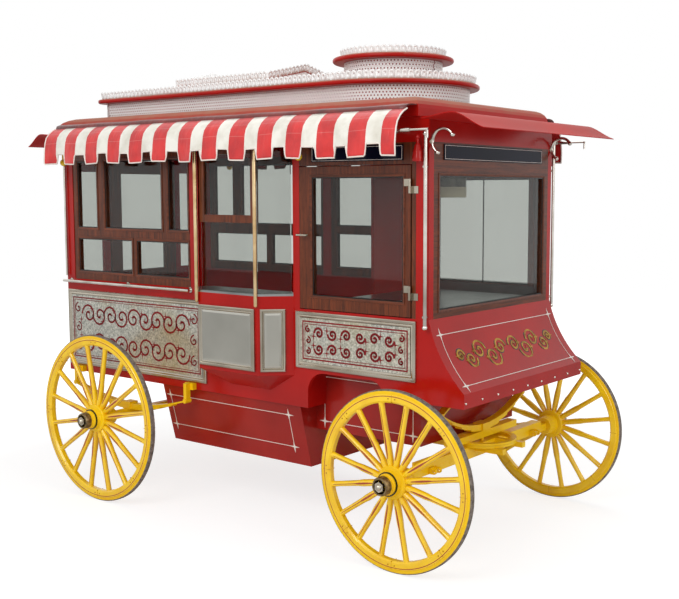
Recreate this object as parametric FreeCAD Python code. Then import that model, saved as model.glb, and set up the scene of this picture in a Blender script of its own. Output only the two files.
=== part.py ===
import FreeCAD
import Part
import math
import os

os.makedirs("parts", exist_ok=True)
Vector = FreeCAD.Vector

# A horse-drawn cut-under popcorn wagon. +X is the front, +Y the far side, +Z up.
# Sizes in millimetres. They are drawn from the middle of the body, and save() moves them so that
# the origin is on the ground under the middle of the whole wagon.

# Body
body_length = 2880.0
body_width = 1250.0
wall = 25.0
sill_z = 700.0
nose_sill_z = 818.0
rear_waist_z = 1305.0
front_waist_z = 1240.0
cornice_z = 2112.0
eave_z = 2235.0
floor_thick = 22.0
floor_gap = 1.0
joinery = 35.0
glass_thick = 5.0
door_gap = 5.0

# Where the side is divided, measured from the middle of the body
rear_post = 80.0
bay_rear_x = -190.0
bay_front_x = 550.0
bay_rear_post = 70.0
bay_front_post = 47.0
corner_post = 77.0
post_depth = 41.0

# Cut-under and what hangs below the floor
arch_rear_x = 650.0
arch_front_x = 1160.0
arch_top_z = 900.0
arch_rear_radius = 110.0
well_half_width = 470.0
well_front_x = 1290.0
well_bottom_z = 550.0
tank_rear_x = -540.0
tank_front_x = 580.0
tank_bottom_z = 340.0
tank_top_half = 610.0
tank_bottom_half = 520.0

# Flared apron under the front window
apron_reach = 211.0
apron_lip_z = 892.0
apron_sag = 30.0
apron_thick = 20.0

# Serving bay on the near side
bay_projection = 138.0
bay_face_rear_x = -50.0
bay_face_front_x = 410.0
bay_bottom_z = 870.0
bay_keel_z = 768.0
bay_keel_rear_x = 75.0
bay_keel_front_x = 376.0
counter_thick = 12.0
counter_raise = 3.0
counter_inset = 27.0
bay_rail_z = 1700.0
bay_wall = 20.0
bay_post_radius = 11.0

# Roof
roof_front_setback = 45.0
roof_rear_overhang = 15.0
roof_overhang_y = 30.0
roof_edge_height = 40.0
roof_rise = 60.0
roof_shoulder = 70.0
roof_rear_shoulder = 180.0

# Galleries on the roof
tier_x = 760.0
long_tier_rear_x = -1310.0
long_flange_radius = 490.0
long_band_radius = 430.0
long_crest_radius = 462.0
rear_corner_radius = 90.0
long_flange_z = 2436.0
flange_thick = 26.0
crest_height = 48.0
sheet = 3.0
round_flange_radius = 343.0
round_band_radius = 275.0
round_crest_radius = 292.0
round_flange_z = 2588.0

# Skylight between the round tier and the rear
skylight_rear_x = -680.0
skylight_front_x = 100.0
skylight_half = 330.0
skylight_eave = 58.0
skylight_rise = 75.0

# Sheet-metal hoods at both ends, awnings at both sides
front_hood_reach = 350.0
rear_hood_reach = 280.0
hood_half_width = 700.0
hood_sheet = 4.0
hood_root_z = 2222.0
hood_crest_z = 2240.0
hood_lip_z = 2166.0
awning_rear_x = -1337.0
awning_front_x = 1380.0
awning_root_z = 2268.0
soft_gap = 0.3
awning_fold = (830.0, 2170.0)
awning_hem = (838.0, 2042.0)
awning_thick = 6.0
cover_outer_y = 742.0
cover_thick = 12.0
bar_radius = 10.0

# Doors
door_hinge_offset = 13.0
knuckle_radius = 7.0
pin_radius = 3.5
pin_clearance = 0.05
knuckle_height = 35.0
knuckle_gap = 0.5
plate_length = 42.0
plate_thick = 4.0
popcorn_door_top_z = 2000.0
door_rear_stile = 89.0
door_front_stile = 47.0
handle_z = 1640.0
rear_door_half = 285.0
rear_door_top_z = 2080.0

# Wheels and running gear
front_radius = 457.0
rear_radius = 506.0
front_axle_x = 1370.0
wheelbase = 2153.0
front_tread_half = 815.0
rear_tread_half = 916.0
spokes = 16
tyre_width = 32.0
tyre_depth = 22.0
felloe_depth = 42.0
felloe_width = 44.0
hub_inner = 105.0
hub_outer = 118.0
hub_radius = 66.0
spindle_radius = 20.0
bore_clearance = 0.05
wheel_gap = 6.0
axle_square = 40.0
fifth_wheel_radius = 190.0
fifth_wheel_width = 32.0
fifth_wheel_thick = 12.0
fifth_wheel_gap = 1.0
kingpin_radius = 12.0
bed_height = 30.0
thill_y = 520.0
thill_bore = 8.0
thill_ear = 10.0
thill_gap = 34.0
spring_half = 520.0
spring_y = 670.0
hanger_height = 40.0
leaf_thick = 9.0
leaf_width = 45.0
leaf_shares = (1.0, 0.78, 0.56, 0.34)
eye_radius = 14.0

half_length = body_length / 2
half_width = body_width / 2
inner_half = half_width - wall
rear_axle_x = front_axle_x - wheelbase
counter_z = rear_waist_z + counter_thick
nose_x = half_length + apron_reach
frame_shift = (front_axle_x + front_radius - half_length - rear_hood_reach) / 2


def box(x0, x1, y0, y1, z0, z1):
    corner = Vector(min(x0, x1), min(y0, y1), min(z0, z1))
    return Part.makeBox(abs(x1 - x0), abs(y1 - y0), abs(z1 - z0), corner)


def rod(start, end, radius):
    start = Vector(*start)
    axis = Vector(*end) - start
    return Part.makeCylinder(radius, axis.Length, start, axis)


def polygon(points):
    return Part.Face(Part.makePolygon([Vector(*p) for p in points] + [Vector(*points[0])]))


def prism_x(points, x0, x1):
    return polygon([(x0, y, z) for y, z in points]).extrude(Vector(x1 - x0, 0, 0))


def prism_z(points, z0, z1):
    return polygon([(x, y, z0) for x, y in points]).extrude(Vector(0, 0, z1 - z0))


def arc(a, b, c):
    return Part.Arc(Vector(*a), Vector(*b), Vector(*c)).toShape()


def line(a, b):
    return Part.LineSegment(Vector(*a), Vector(*b)).toShape()


def far(shape):
    return shape.mirror(Vector(0, 0, 0), Vector(0, 1, 0))


def rear(shape):
    return shape.mirror(Vector(0, 0, 0), Vector(1, 0, 0))


def both(shape):
    return [shape, far(shape)]


def joined(shapes):
    return shapes[0].multiFuse(shapes[1:]).removeSplitter()


def save(node, shapes):
    solids = []
    for shape in shapes:
        solids += shape.Solids
    whole = Part.makeCompound(solids)
    whole.translate(Vector(-frame_shift, 0, 0))
    whole.exportStep("parts/%s.step" % node)
    print(node, len(solids), "solids,", round(sum(s.Volume for s in solids) / 1e6, 2), "litres")


# Lower body

def apron_curve():
    top = Vector(half_length, 0, front_waist_z)
    foot = Vector(nose_x, 0, apron_lip_z)
    chord = foot - top
    outward = Vector(-chord.z, 0, chord.x).normalize()
    radius = chord.Length ** 2 / (8 * apron_sag) + apron_sag / 2
    return (top + foot) * 0.5 + outward * (radius - apron_sag), radius


apron_centre, apron_radius = apron_curve()


def apron_point(x, depth):
    reach = apron_radius + depth
    return (x, apron_centre.z - math.sqrt(reach ** 2 - (x - apron_centre.x) ** 2))


def apron_middle(start, end, depth):
    middle = Vector((start[0] + end[0]) / 2 - apron_centre.x, 0, (start[1] + end[1]) / 2 - apron_centre.z)
    middle = middle.normalize() * (apron_radius + depth)
    return (apron_centre.x + middle.x, apron_centre.z + middle.z)


def at_y(point, y):
    return (point[0], y, point[1])


def apron():
    top = (half_length, front_waist_z)
    foot = (nose_x, apron_lip_z)
    inner_top = apron_point(half_length, apron_thick)
    inner_foot = apron_point(nose_x - apron_thick, apron_thick)
    outer_middle = apron_middle(top, foot, 0)
    inner_middle = apron_middle(inner_top, inner_foot, apron_thick)
    y = -half_width
    edges = [
        arc(at_y(top, y), at_y(outer_middle, y), at_y(foot, y)),
        line(at_y(foot, y), (nose_x, y, nose_sill_z)),
        line((nose_x, y, nose_sill_z), (nose_x - apron_thick, y, nose_sill_z)),
        line((nose_x - apron_thick, y, nose_sill_z), at_y(inner_foot, y)),
        arc(at_y(inner_foot, y), at_y(inner_middle, y), at_y(inner_top, y)),
        line(at_y(inner_top, y), at_y(top, y)),
    ]
    return Part.Face(Part.Wire(edges)).extrude(Vector(0, body_width, 0))


def side_wall():
    y = -half_width
    inner_top = apron_point(half_length, apron_thick)
    inner_foot = apron_point(nose_x - apron_thick, apron_thick)
    inner_middle = apron_middle(inner_top, inner_foot, apron_thick)
    turn = arch_rear_radius * math.sqrt(0.5)
    fall = arch_top_z - nose_sill_z
    turn_front = fall * math.sqrt(0.5)
    corner = (arch_rear_x + arch_rear_radius - turn, y, arch_top_z - arch_rear_radius + turn)
    front_corner = (arch_front_x - fall + turn_front, y, arch_top_z - fall + turn_front)
    edges = [
        line((-half_length, y, sill_z), (arch_rear_x, y, sill_z)),
        line((arch_rear_x, y, sill_z), (arch_rear_x, y, arch_top_z - arch_rear_radius)),
        arc((arch_rear_x, y, arch_top_z - arch_rear_radius), corner,
            (arch_rear_x + arch_rear_radius, y, arch_top_z)),
        line((arch_rear_x + arch_rear_radius, y, arch_top_z), (arch_front_x - fall, y, arch_top_z)),
        arc((arch_front_x - fall, y, arch_top_z), front_corner, (arch_front_x, y, nose_sill_z)),
        line((arch_front_x, y, nose_sill_z), (nose_x - apron_thick, y, nose_sill_z)),
        line((nose_x - apron_thick, y, nose_sill_z), at_y(inner_foot, y)),
        arc(at_y(inner_foot, y), at_y(inner_middle, y), at_y(inner_top, y)),
        line(at_y(inner_top, y), (half_length, y, front_waist_z)),
        line((half_length, y, front_waist_z), (bay_front_x, y, front_waist_z)),
        line((bay_front_x, y, front_waist_z), (bay_front_x, y, rear_waist_z)),
        line((bay_front_x, y, rear_waist_z), (-half_length, y, rear_waist_z)),
        line((-half_length, y, rear_waist_z), (-half_length, y, sill_z)),
    ]
    return Part.Face(Part.Wire(edges)).extrude(Vector(0, wall, 0))


def floor():
    low = box(-half_length + wall, arch_rear_x, -inner_half, inner_half, sill_z, sill_z + floor_thick)
    riser = box(arch_rear_x - floor_thick, arch_rear_x, -inner_half, inner_half,
                sill_z, arch_top_z + floor_thick)
    front_end = apron_point(nose_x - apron_thick, apron_thick)[0] - floor_thick
    high = box(arch_rear_x - floor_thick, front_end, -inner_half, inner_half,
               arch_top_z, arch_top_z + floor_thick)
    keep_off = apron()
    keep_off.translate(Vector(-floor_gap, 0, 0))
    return joined([low, riser, high.cut(keep_off)])


def tank():
    section = [(-tank_top_half, sill_z), (tank_top_half, sill_z),
               (tank_bottom_half, tank_bottom_z), (-tank_bottom_half, tank_bottom_z)]
    return prism_x(section, tank_rear_x, tank_front_x)


def well():
    high = box(arch_rear_x, well_front_x, -well_half_width, well_half_width, well_bottom_z, arch_top_z)
    low = box(tank_front_x, arch_rear_x, -well_half_width, well_half_width, well_bottom_z, sill_z)
    return joined([high, low])


# Cabin frame and joinery

def cabin_frame():
    y0 = -half_width
    y1 = y0 + post_depth
    spans = [
        (-half_length, -half_length + rear_post, rear_waist_z),
        (bay_rear_x - bay_rear_post, bay_rear_x, rear_waist_z),
        (bay_front_x, bay_front_x + bay_front_post, rear_waist_z),
        (half_length - corner_post, half_length, front_waist_z),
    ]
    pieces = [box(x0, x1, y0, y1, z, eave_z) for x0, x1, z in spans]
    pieces.append(box(bay_front_x, bay_front_x + bay_front_post, y0, y1, front_waist_z, rear_waist_z))
    pieces.append(box(-half_length, half_length, y0, y1, cornice_z, eave_z))
    pieces += [far(piece) for piece in pieces]
    for end in (-1, 1):
        outer = end * half_length
        pieces.append(box(outer - end * post_depth, outer, y0, -y0, cornice_z, eave_z))
    return joined(pieces)


def sash(x0, x1, z0, z1, lights, y0):
    frame = box(x0, x1, y0, y0 + joinery, z0, z1)
    for a, b, c, d in lights:
        frame = frame.cut(box(a, b, y0 - 1, y0 + joinery + 1, c, d))
    return frame


def panes(lights, y):
    return [box(a, b, y, y + glass_thick, c, d) for a, b, c, d in lights]


joinery_y = -half_width + 4
pane_y = joinery_y + (joinery - glass_thick) / 2

rear_window = (-half_length + rear_post, bay_rear_x - bay_rear_post, rear_waist_z, cornice_z)
rear_lights = [
    (rear_window[0] + 46, -1121, 1640, 2060),
    (-1041, -511, 1640, 2060),
    (-447, rear_window[1] - 20, 1640, 2060),
    (rear_window[0] + 46, -790, 1360, 1570),
    (-743, rear_window[1] - 20, 1360, 1570),
]
middle_window = (bay_rear_x, bay_front_x, rear_waist_z, cornice_z)
middle_lights = [
    (bay_rear_x + 45, bay_front_x - 45, 1640, 2060),
    (bay_rear_x + 45, bay_front_x - 45, 1360, 1590),
]
front_bay = (bay_front_x + bay_front_post, half_length - corner_post, front_waist_z, cornice_z)
front_lights = [(front_bay[0] + 70, front_bay[1] - 50, 1318, 1945)]


def side_windows():
    near = [sash(*rear_window, rear_lights, joinery_y)]
    other = [far(sash(*rear_window, rear_lights, joinery_y)),
             far(sash(*middle_window, middle_lights, joinery_y)),
             far(sash(*front_bay, front_lights, joinery_y))]
    return near + other


def side_glass():
    near = panes(rear_lights, pane_y)
    return near + [far(p) for p in panes(rear_lights + middle_lights + front_lights, pane_y)]


front_half_outer = half_width - post_depth
front_glass_half = 530.0
front_glass_low = 1281.0
front_glass_high = 1949.0


def front_window():
    x1 = half_length
    frame = box(x1 - joinery, x1, -front_half_outer, front_half_outer, front_waist_z, cornice_z)
    return frame.cut(box(x1 - joinery - 1, x1 + 1, -front_glass_half, front_glass_half,
                         front_glass_low, front_glass_high))


def front_glass():
    x = half_length - joinery / 2
    return box(x - glass_thick / 2, x + glass_thick / 2, -front_glass_half, front_glass_half,
               front_glass_low, front_glass_high)


# Rear end: a panel each side of the entrance door

rear_window_low = 1330.0
rear_window_high = 2000.0
rear_window_inset = 50.0
rear_jamb = rear_door_half + door_gap


def rear_panel():
    x0 = -half_length
    panel = box(x0, x0 + wall, -inner_half, -rear_jamb, sill_z, cornice_z)
    panel = panel.cut(box(x0 - 1, x0 + wall + 1, -inner_half, -half_width + post_depth,
                          rear_waist_z, cornice_z))
    return panel.cut(rear_panel_opening(x0 - 1, x0 + wall + 1))


def rear_panel_opening(x0, x1):
    return box(x0, x1, -half_width + post_depth + rear_window_inset, -rear_jamb - rear_window_inset,
               rear_window_low, rear_window_high)


def rear_panel_glass():
    middle = -half_length + wall / 2
    return rear_panel_opening(middle - glass_thick / 2, middle + glass_thick / 2)


rear_door_x = -half_length
rear_door_low_z = sill_z + floor_thick + door_gap
rear_door_axis = (rear_door_x - door_hinge_offset, -rear_jamb)
rear_knuckles = [900.0, 1400.0, 1900.0]


def rear_door_light(x0, x1):
    return box(x0, x1, -rear_door_half + 90, rear_door_half - 90, rear_window_low, rear_door_top_z - 90)


def rear_door():
    leaf = box(rear_door_x, rear_door_x + joinery, -rear_door_half, rear_door_half,
               rear_door_low_z, rear_door_top_z)
    leaf = leaf.cut(rear_door_light(rear_door_x - 1, rear_door_x + joinery + 1))
    pieces = [leaf]
    for z in rear_knuckles:
        pieces.append(placed(hinge_half(-1, door_hinge_offset, knuckle_height), rear_door_axis, z, -90))
    knob_y = rear_door_half - 45
    pieces.append(rod((rear_door_x - 45, knob_y, 1180), (rear_door_x, knob_y, 1180), 9))
    pieces.append(Part.makeSphere(24, Vector(rear_door_x - 55, knob_y, 1180)))
    return joined(pieces)


def rear_door_glass():
    middle = rear_door_x + joinery / 2
    return rear_door_light(middle - glass_thick / 2, middle + glass_thick / 2)


# Hinges: the leaf's knuckle is the upper half of the barrel, the jamb's is the lower half.
# Each half is drawn at the origin, its face towards -Y, and then turned and moved to its axis.

def hinge_half(side, face_offset, height):
    barrel = Part.makeCylinder(knuckle_radius, height)
    web = box(side * 1, side * knuckle_radius, 0, face_offset, 0, height)
    plate = box(side * 1, side * plate_length, face_offset - plate_thick, face_offset, 0, height)
    bore = Part.makeCylinder(pin_radius + pin_clearance, height)
    return joined([barrel, web, plate]).cut(bore)


def hinge_jamb(side, face_offset, height):
    pin = Part.makeCylinder(pin_radius, 2 * height + knuckle_gap)
    plug = Part.makeCylinder(pin_radius + pin_clearance, height)
    return joined([hinge_half(side, face_offset, height), plug, pin])


def placed(shape, axis, z, turn):
    shape = shape.copy()
    shape.rotate(Vector(0, 0, 0), Vector(0, 0, 1), turn)
    shape.translate(Vector(axis[0], axis[1], z))
    return shape


popcorn_leaf_x0 = front_bay[0] + door_gap
popcorn_leaf_x1 = half_length - corner_post - 30
popcorn_jamb_x = popcorn_leaf_x1 + door_gap
popcorn_door_low_z = front_waist_z + door_gap
popcorn_y = -half_width - 4
popcorn_axis = (popcorn_jamb_x - 2, popcorn_y - door_hinge_offset)
popcorn_knuckles = [1368.0, 1897.0]


def popcorn_light(y0, y1):
    return box(popcorn_leaf_x0 + door_rear_stile, popcorn_leaf_x1 - door_front_stile, y0, y1,
               front_lights[0][2], front_lights[0][3])


def popcorn_door():
    leaf = box(popcorn_leaf_x0, popcorn_leaf_x1, popcorn_y, popcorn_y + joinery,
               popcorn_door_low_z, popcorn_door_top_z)
    leaf = leaf.cut(popcorn_light(popcorn_y - 1, popcorn_y + joinery + 1))
    return leaf


def popcorn_fittings():
    pieces = []
    for z in popcorn_knuckles:
        pieces.append(placed(hinge_half(-1, door_hinge_offset, knuckle_height), popcorn_axis, z, 0))
    handle_x = popcorn_leaf_x0 + door_rear_stile / 2
    grip_y = popcorn_y - 35
    stem = rod((handle_x, popcorn_y, handle_z), (handle_x, grip_y, handle_z), 6)
    grip = rod((handle_x - 35, grip_y, handle_z), (handle_x + 35, grip_y, handle_z), 7)
    pieces.append(joined([stem, grip]))
    return pieces


def popcorn_glass():
    middle = popcorn_y + joinery / 2
    return popcorn_light(middle - glass_thick / 2, middle + glass_thick / 2)


def popcorn_jamb():
    y0 = -half_width
    y1 = y0 + post_depth
    head = box(front_bay[0], half_length - corner_post, y0, y1, popcorn_door_top_z + door_gap, cornice_z)
    side = box(popcorn_jamb_x, half_length - corner_post, y0, y1, front_waist_z, cornice_z)
    return joined([head, side])


def hinge_jambs():
    drop = knuckle_height + knuckle_gap
    jamb_offset = door_hinge_offset - popcorn_y - half_width
    pieces = []
    for z in popcorn_knuckles:
        pieces.append(placed(hinge_jamb(1, jamb_offset, knuckle_height), popcorn_axis, z - drop, 0))
    rear_half = hinge_jamb(1, door_hinge_offset, knuckle_height)
    for z in rear_knuckles:
        pieces.append(placed(rear_half, rear_door_axis, z - drop, -90))
    return pieces


# Serving bay

bay_face_y = -half_width - bay_projection
bay_plan = [(bay_rear_x, -half_width), (bay_face_rear_x, bay_face_y),
            (bay_face_front_x, bay_face_y), (bay_front_x, -half_width)]


def bay_shrunk(inset):
    slope = bay_projection / (bay_front_x - bay_face_front_x)
    side = inset * (math.sqrt(1 + slope ** 2) - 1) / slope
    edge = inset * math.sqrt(1 + 1 / slope ** 2)
    return [(bay_rear_x + edge, -half_width), (bay_face_rear_x + side, bay_face_y + inset),
            (bay_face_front_x - side, bay_face_y + inset), (bay_front_x - edge, -half_width)]


def bay_box():
    outer = prism_z(bay_plan, bay_bottom_z, counter_z - counter_thick)
    inner = prism_z(bay_shrunk(bay_wall), bay_bottom_z + bay_wall, counter_z - counter_thick + 1)
    return outer.cut(inner)


def bay_keel():
    a, b, c, d = [Vector(x, y, bay_bottom_z) for x, y in bay_plan]
    e = Vector(bay_keel_rear_x, -half_width, bay_keel_z)
    f = Vector(bay_keel_front_x, -half_width, bay_keel_z)
    faces = [[a, b, c, d], [b, c, f, e], [c, d, f], [a, b, e], [a, d, f, e]]
    shell = Part.makeShell([Part.Face(Part.makePolygon(loop + [loop[0]])) for loop in faces])
    solid = Part.makeSolid(shell)
    return solid if solid.Volume > 0 else solid.reversed()


def bay_counter():
    front = prism_z(bay_plan, counter_z - counter_thick, counter_z)
    back = box(bay_rear_x, bay_front_x, -half_width, -half_width + 60, counter_z - counter_thick, counter_z)
    top = prism_z(bay_shrunk(counter_inset), counter_z, counter_z + counter_raise)
    top_back = box(bay_rear_x + 60, bay_front_x - 60, -half_width, -half_width + 60,
                   counter_z, counter_z + counter_raise)
    return joined([front, back, top, top_back])


def bay_head():
    return prism_z(bay_plan, cornice_z, cornice_z + bay_wall)


def bay_sash():
    frame = box(bay_face_rear_x + 14, bay_face_front_x - 14, bay_face_y + 8, bay_face_y + 8 + joinery - 10,
                bay_rail_z, cornice_z)
    return frame.cut(box(bay_face_rear_x + 50, bay_face_front_x - 50, bay_face_y, bay_face_y + 60,
                         bay_rail_z + 42, cornice_z - 40))


def bay_glazing():
    y = bay_face_y + 18
    upper = box(bay_face_rear_x + 50, bay_face_front_x - 50, y, y + glass_thick,
                bay_rail_z + 42, cornice_z - 40)
    lower = box(bay_face_rear_x + 14, bay_face_front_x - 14, y, y + glass_thick, counter_z, bay_rail_z)
    inner = bay_shrunk(8)
    deep = bay_shrunk(8 + glass_thick)
    front_cant = prism_z([inner[2], inner[3], deep[3], deep[2]], counter_z, cornice_z)
    rear_cant = prism_z([inner[0], inner[1], deep[1], deep[0]], counter_z, cornice_z)
    clear = box(bay_face_rear_x + 8, bay_face_front_x - 8, bay_face_y - 1, bay_face_y + 36, 0, 3000)
    return [upper, lower, front_cant.cut(clear), rear_cant.cut(clear)]


def bay_posts():
    pieces = []
    for x in (bay_face_rear_x, bay_face_front_x):
        y = bay_face_y - bay_post_radius
        post = rod((x, y, counter_z - 60), (x, y, cornice_z + bay_wall), bay_post_radius)
        foot = Part.makeSphere(bay_post_radius, Vector(x, y, counter_z - 60))
        pieces.append(joined([post, foot]))
    return pieces


# Sign panels: a bevelled mirror plate in a nickel moulding

def framed_sign(x0, x1, z0, z1, border, thick, y):
    outer = box(x0, x1, y - thick, y, z0, z1)
    return outer.cut(box(x0 + border, x1 - border, y - thick - 1, y + 1, z0 + border, z1 - border))


def sign_plate(x0, x1, z0, z1, border, thick, y):
    return box(x0 + border, x1 - border, y - thick, y, z0 + border, z1 - border)


moulding = 34.0
moulding_thick = 14.0
mirror_thick = 8.0
rear_sign = (-half_length + 14, -132.0, 746.0, 1236.0)
front_sign = (572.0, 1369.0, 920.0, 1228.0)
bay_sign = (bay_face_rear_x + 8, bay_face_front_x - 16, 892.0, 1236.0)
cant_sign = (14.0, 152.0, 892.0, 1236.0)


def on_cant(shape):
    length_x = bay_front_x - bay_face_front_x
    angle = math.degrees(math.atan2(bay_projection, length_x))
    shape = shape.copy()
    shape.translate(Vector(0, 0, 0))
    shape.rotate(Vector(0, 0, 0), Vector(0, 0, 1), angle)
    shape.translate(Vector(bay_face_front_x, bay_face_y, 0))
    return shape


def rear_sign_trim(shape):
    return shape.cut(prism_z(bay_shrunk(-1), bay_bottom_z, counter_z)).cut(bay_keel())


def sign_mouldings():
    near = [
        rear_sign_trim(framed_sign(*rear_sign, moulding, moulding_thick, -half_width)),
        framed_sign(*front_sign, moulding, moulding_thick, -half_width),
        framed_sign(*bay_sign, moulding - 4, moulding_thick, bay_face_y),
        on_cant(framed_sign(*cant_sign, moulding - 10, moulding_thick, 0)),
    ]
    other = [far(framed_sign(*rear_sign, moulding, moulding_thick, -half_width)),
             far(framed_sign(*front_sign, moulding, moulding_thick, -half_width))]
    return near + other


def sign_mirrors():
    near = [
        rear_sign_trim(sign_plate(*rear_sign, moulding, mirror_thick, -half_width)),
        sign_plate(*front_sign, moulding, mirror_thick, -half_width),
        sign_plate(*bay_sign, moulding - 4, mirror_thick, bay_face_y),
        on_cant(sign_plate(*cant_sign, moulding - 10, mirror_thick, 0)),
    ]
    other = [far(sign_plate(*rear_sign, moulding, mirror_thick, -half_width)),
             far(sign_plate(*front_sign, moulding, mirror_thick, -half_width))]
    return near + other


def transom_plates():
    thick = 6
    side_x = (front_bay[0] + 92, half_length - corner_post - 77)
    side = box(*side_x, -half_width - thick, -half_width, 2024, 2102)
    other = side.copy()
    other.translate(Vector(0, joinery_y + half_width, 0))
    front = box(half_length, half_length + thick, -500, 500, 2026, 2104)
    return [side, far(other), front]


# Roof: a flat-topped cove, steeper in front than behind

def roof():
    rear_x = -half_length - roof_rear_overhang
    front_x = half_length - roof_front_setback
    edge_y = half_width + roof_overhang_y
    low = box(rear_x, front_x, -edge_y, edge_y, eave_z, eave_z + roof_edge_height)
    steps = 5
    wires = []
    for i in range(steps + 1):
        turn = math.radians(90.0 * i / steps)
        inset = 1 - math.cos(turn)
        z = eave_z + roof_edge_height + roof_rise * math.sin(turn)
        x0 = rear_x + roof_rear_shoulder * inset
        x1 = front_x - roof_shoulder * inset
        y = edge_y - roof_shoulder * inset
        ring = [Vector(x0, -y, z), Vector(x1, -y, z), Vector(x1, y, z), Vector(x0, y, z)]
        wires.append(Part.makePolygon(ring + [ring[0]]))
    cove = Part.makeLoft(wires, True, True)
    return joined([low, cove])


deck_z = eave_z + roof_edge_height + roof_rise


def long_plan(radius, z):
    shrink = long_flange_radius - radius
    rear_x = long_tier_rear_x + shrink
    corner = max(rear_corner_radius - shrink, 20.0)
    bend = corner * math.sqrt(0.5)
    cx = rear_x + corner
    cy = radius - corner
    edges = [
        line((cx, -radius, z), (tier_x, -radius, z)),
        arc((tier_x, -radius, z), (tier_x + radius, 0, z), (tier_x, radius, z)),
        line((tier_x, radius, z), (cx, radius, z)),
        arc((cx, radius, z), (cx - bend, cy + bend, z), (rear_x, cy, z)),
        line((rear_x, cy, z), (rear_x, -cy, z)),
        arc((rear_x, -cy, z), (cx - bend, -cy - bend, z), (cx, -radius, z)),
    ]
    return Part.Face(Part.Wire(edges))


def long_wall(radius, z0, z1):
    height = Vector(0, 0, z1 - z0)
    return long_plan(radius, z0).extrude(height).cut(long_plan(radius - sheet, z0).extrude(height))


def round_wall(radius, z0, z1):
    base = Vector(tier_x, 0, z0)
    return Part.makeCylinder(radius, z1 - z0, base).cut(Part.makeCylinder(radius - sheet, z1 - z0, base))


def flanges():
    long_one = long_plan(long_flange_radius, long_flange_z).extrude(Vector(0, 0, flange_thick))
    round_one = Part.makeCylinder(round_flange_radius, flange_thick, Vector(tier_x, 0, round_flange_z))
    pieces = []
    for piece in (long_one, round_one):
        rim = [e for e in piece.Edges if e.BoundBox.ZLength < 0.001]
        pieces.append(piece.makeFillet(flange_thick * 0.45, rim))
    return pieces


long_top_z = long_flange_z + flange_thick
round_top_z = round_flange_z + flange_thick


def bands():
    return [long_wall(long_band_radius, deck_z, long_flange_z),
            round_wall(round_band_radius, long_top_z, round_flange_z)]


def crests():
    return [long_wall(long_crest_radius, long_top_z, long_top_z + crest_height),
            round_wall(round_crest_radius, round_top_z, round_top_z + crest_height)]


def skylight():
    z0 = long_top_z
    z1 = z0 + skylight_eave
    section = [(-skylight_half, z0), (skylight_half, z0), (skylight_half, z1),
               (0, z1 + skylight_rise), (-skylight_half, z1)]
    return prism_x(section, skylight_rear_x, skylight_front_x)


def skylight_crest():
    z0 = long_top_z + skylight_eave
    outer = [(-skylight_half, z0), (skylight_half, z0), (skylight_half, z0 + crest_height),
             (0, z0 + skylight_rise + crest_height), (-skylight_half, z0 + crest_height)]
    whole = prism_x(outer, skylight_rear_x, skylight_front_x).cut(skylight())
    inside = box(skylight_rear_x + sheet, skylight_front_x - sheet,
                 -skylight_half + sheet, skylight_half - sheet, z0, z0 + 400)
    return whole.cut(inside)


# Hoods and awnings

def hood(reach):
    y = -hood_half_width
    x0 = half_length
    knots = [(x0, hood_root_z), (x0 + 0.3 * reach, hood_crest_z - 4),
             (x0 + 0.56 * reach, hood_crest_z), (x0 + 0.8 * reach, hood_lip_z + 34),
             (x0 + reach, hood_lip_z)]
    top = Part.BSplineCurve()
    top.interpolate([Vector(x, y, z) for x, z in knots])
    under = Part.BSplineCurve()
    under.interpolate([Vector(x, y, z - hood_sheet) for x, z in knots])
    ends = [line((knots[0][0], y, knots[0][1]), (knots[0][0], y, knots[0][1] - hood_sheet)),
            line((knots[-1][0], y, knots[-1][1]), (knots[-1][0], y, knots[-1][1] - hood_sheet))]
    wire = Part.Wire(Part.sortEdges([top.toShape(), under.toShape()] + ends)[0])
    return Part.Face(wire).extrude(Vector(0, 2 * hood_half_width, 0))


def awning():
    y_root = cover_outer_y + soft_gap
    z_root = awning_root_z
    y_fold, z_fold = awning_fold
    y_hem, z_hem = awning_hem
    section = [(-y_root, z_root), (-y_fold, z_fold), (-y_hem, z_hem), (-y_hem + awning_thick, z_hem),
               (-y_fold + awning_thick, z_fold - 3), (-y_root, z_root - 9)]
    return prism_x(section, awning_rear_x, awning_front_x)


def awning_cover():
    edge_y = half_width + roof_overhang_y
    z = eave_z + roof_edge_height + cover_thick
    inner_y = edge_y + soft_gap
    section = [(-inner_y, z - 34), (-inner_y, z), (-cover_outer_y, z - 8), (-cover_outer_y, z - 30)]
    return prism_x(section, awning_rear_x, awning_front_x)


awning_arms = [-1250.0, -300.0, 640.0, 1300.0]
crank_end_x = 1560.0
bulb_x = (-1300.0, 690.0)
bulb_y = 735.0
bulb_z = 2052.0
bulb_arm_z = 2140.0


def awning_bar():
    y = awning_fold[0] - awning_thick - bar_radius - 4
    z = awning_fold[1] - bar_radius - 2
    pieces = [rod((awning_rear_x, -y, z), (awning_front_x, -y, z), bar_radius)]
    for x in awning_arms:
        pieces.append(rod((x, -half_width, z), (x, -y, z), 6))
    pieces.append(rod((awning_front_x, -y, z), (crank_end_x, -y, z), 5))
    pieces.append(rod((awning_front_x + 25, -y, z), (awning_front_x + 75, -y, z), 9))
    pieces.append(rod((crank_end_x - 5, -y, z + 5), (crank_end_x - 5, -y, z - 40), 5))
    return joined(pieces)


# Rails, poles, brackets and lamps on the outside

def handrail():
    y = -half_width - 45
    z = rear_waist_z - 12
    x0 = -half_length + 20
    x1 = bay_rear_x - 40
    pieces = [rod((x0, y, z), (x1, y, z), 9)]
    for x in (x0 + 30, (x0 + x1) / 2, x1 - 30):
        pieces.append(rod((x, y, z), (x, -half_width, z), 7))
        pieces.append(rod((x, -half_width - 6, z), (x, -half_width, z), 16))
    return joined(pieces)


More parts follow.
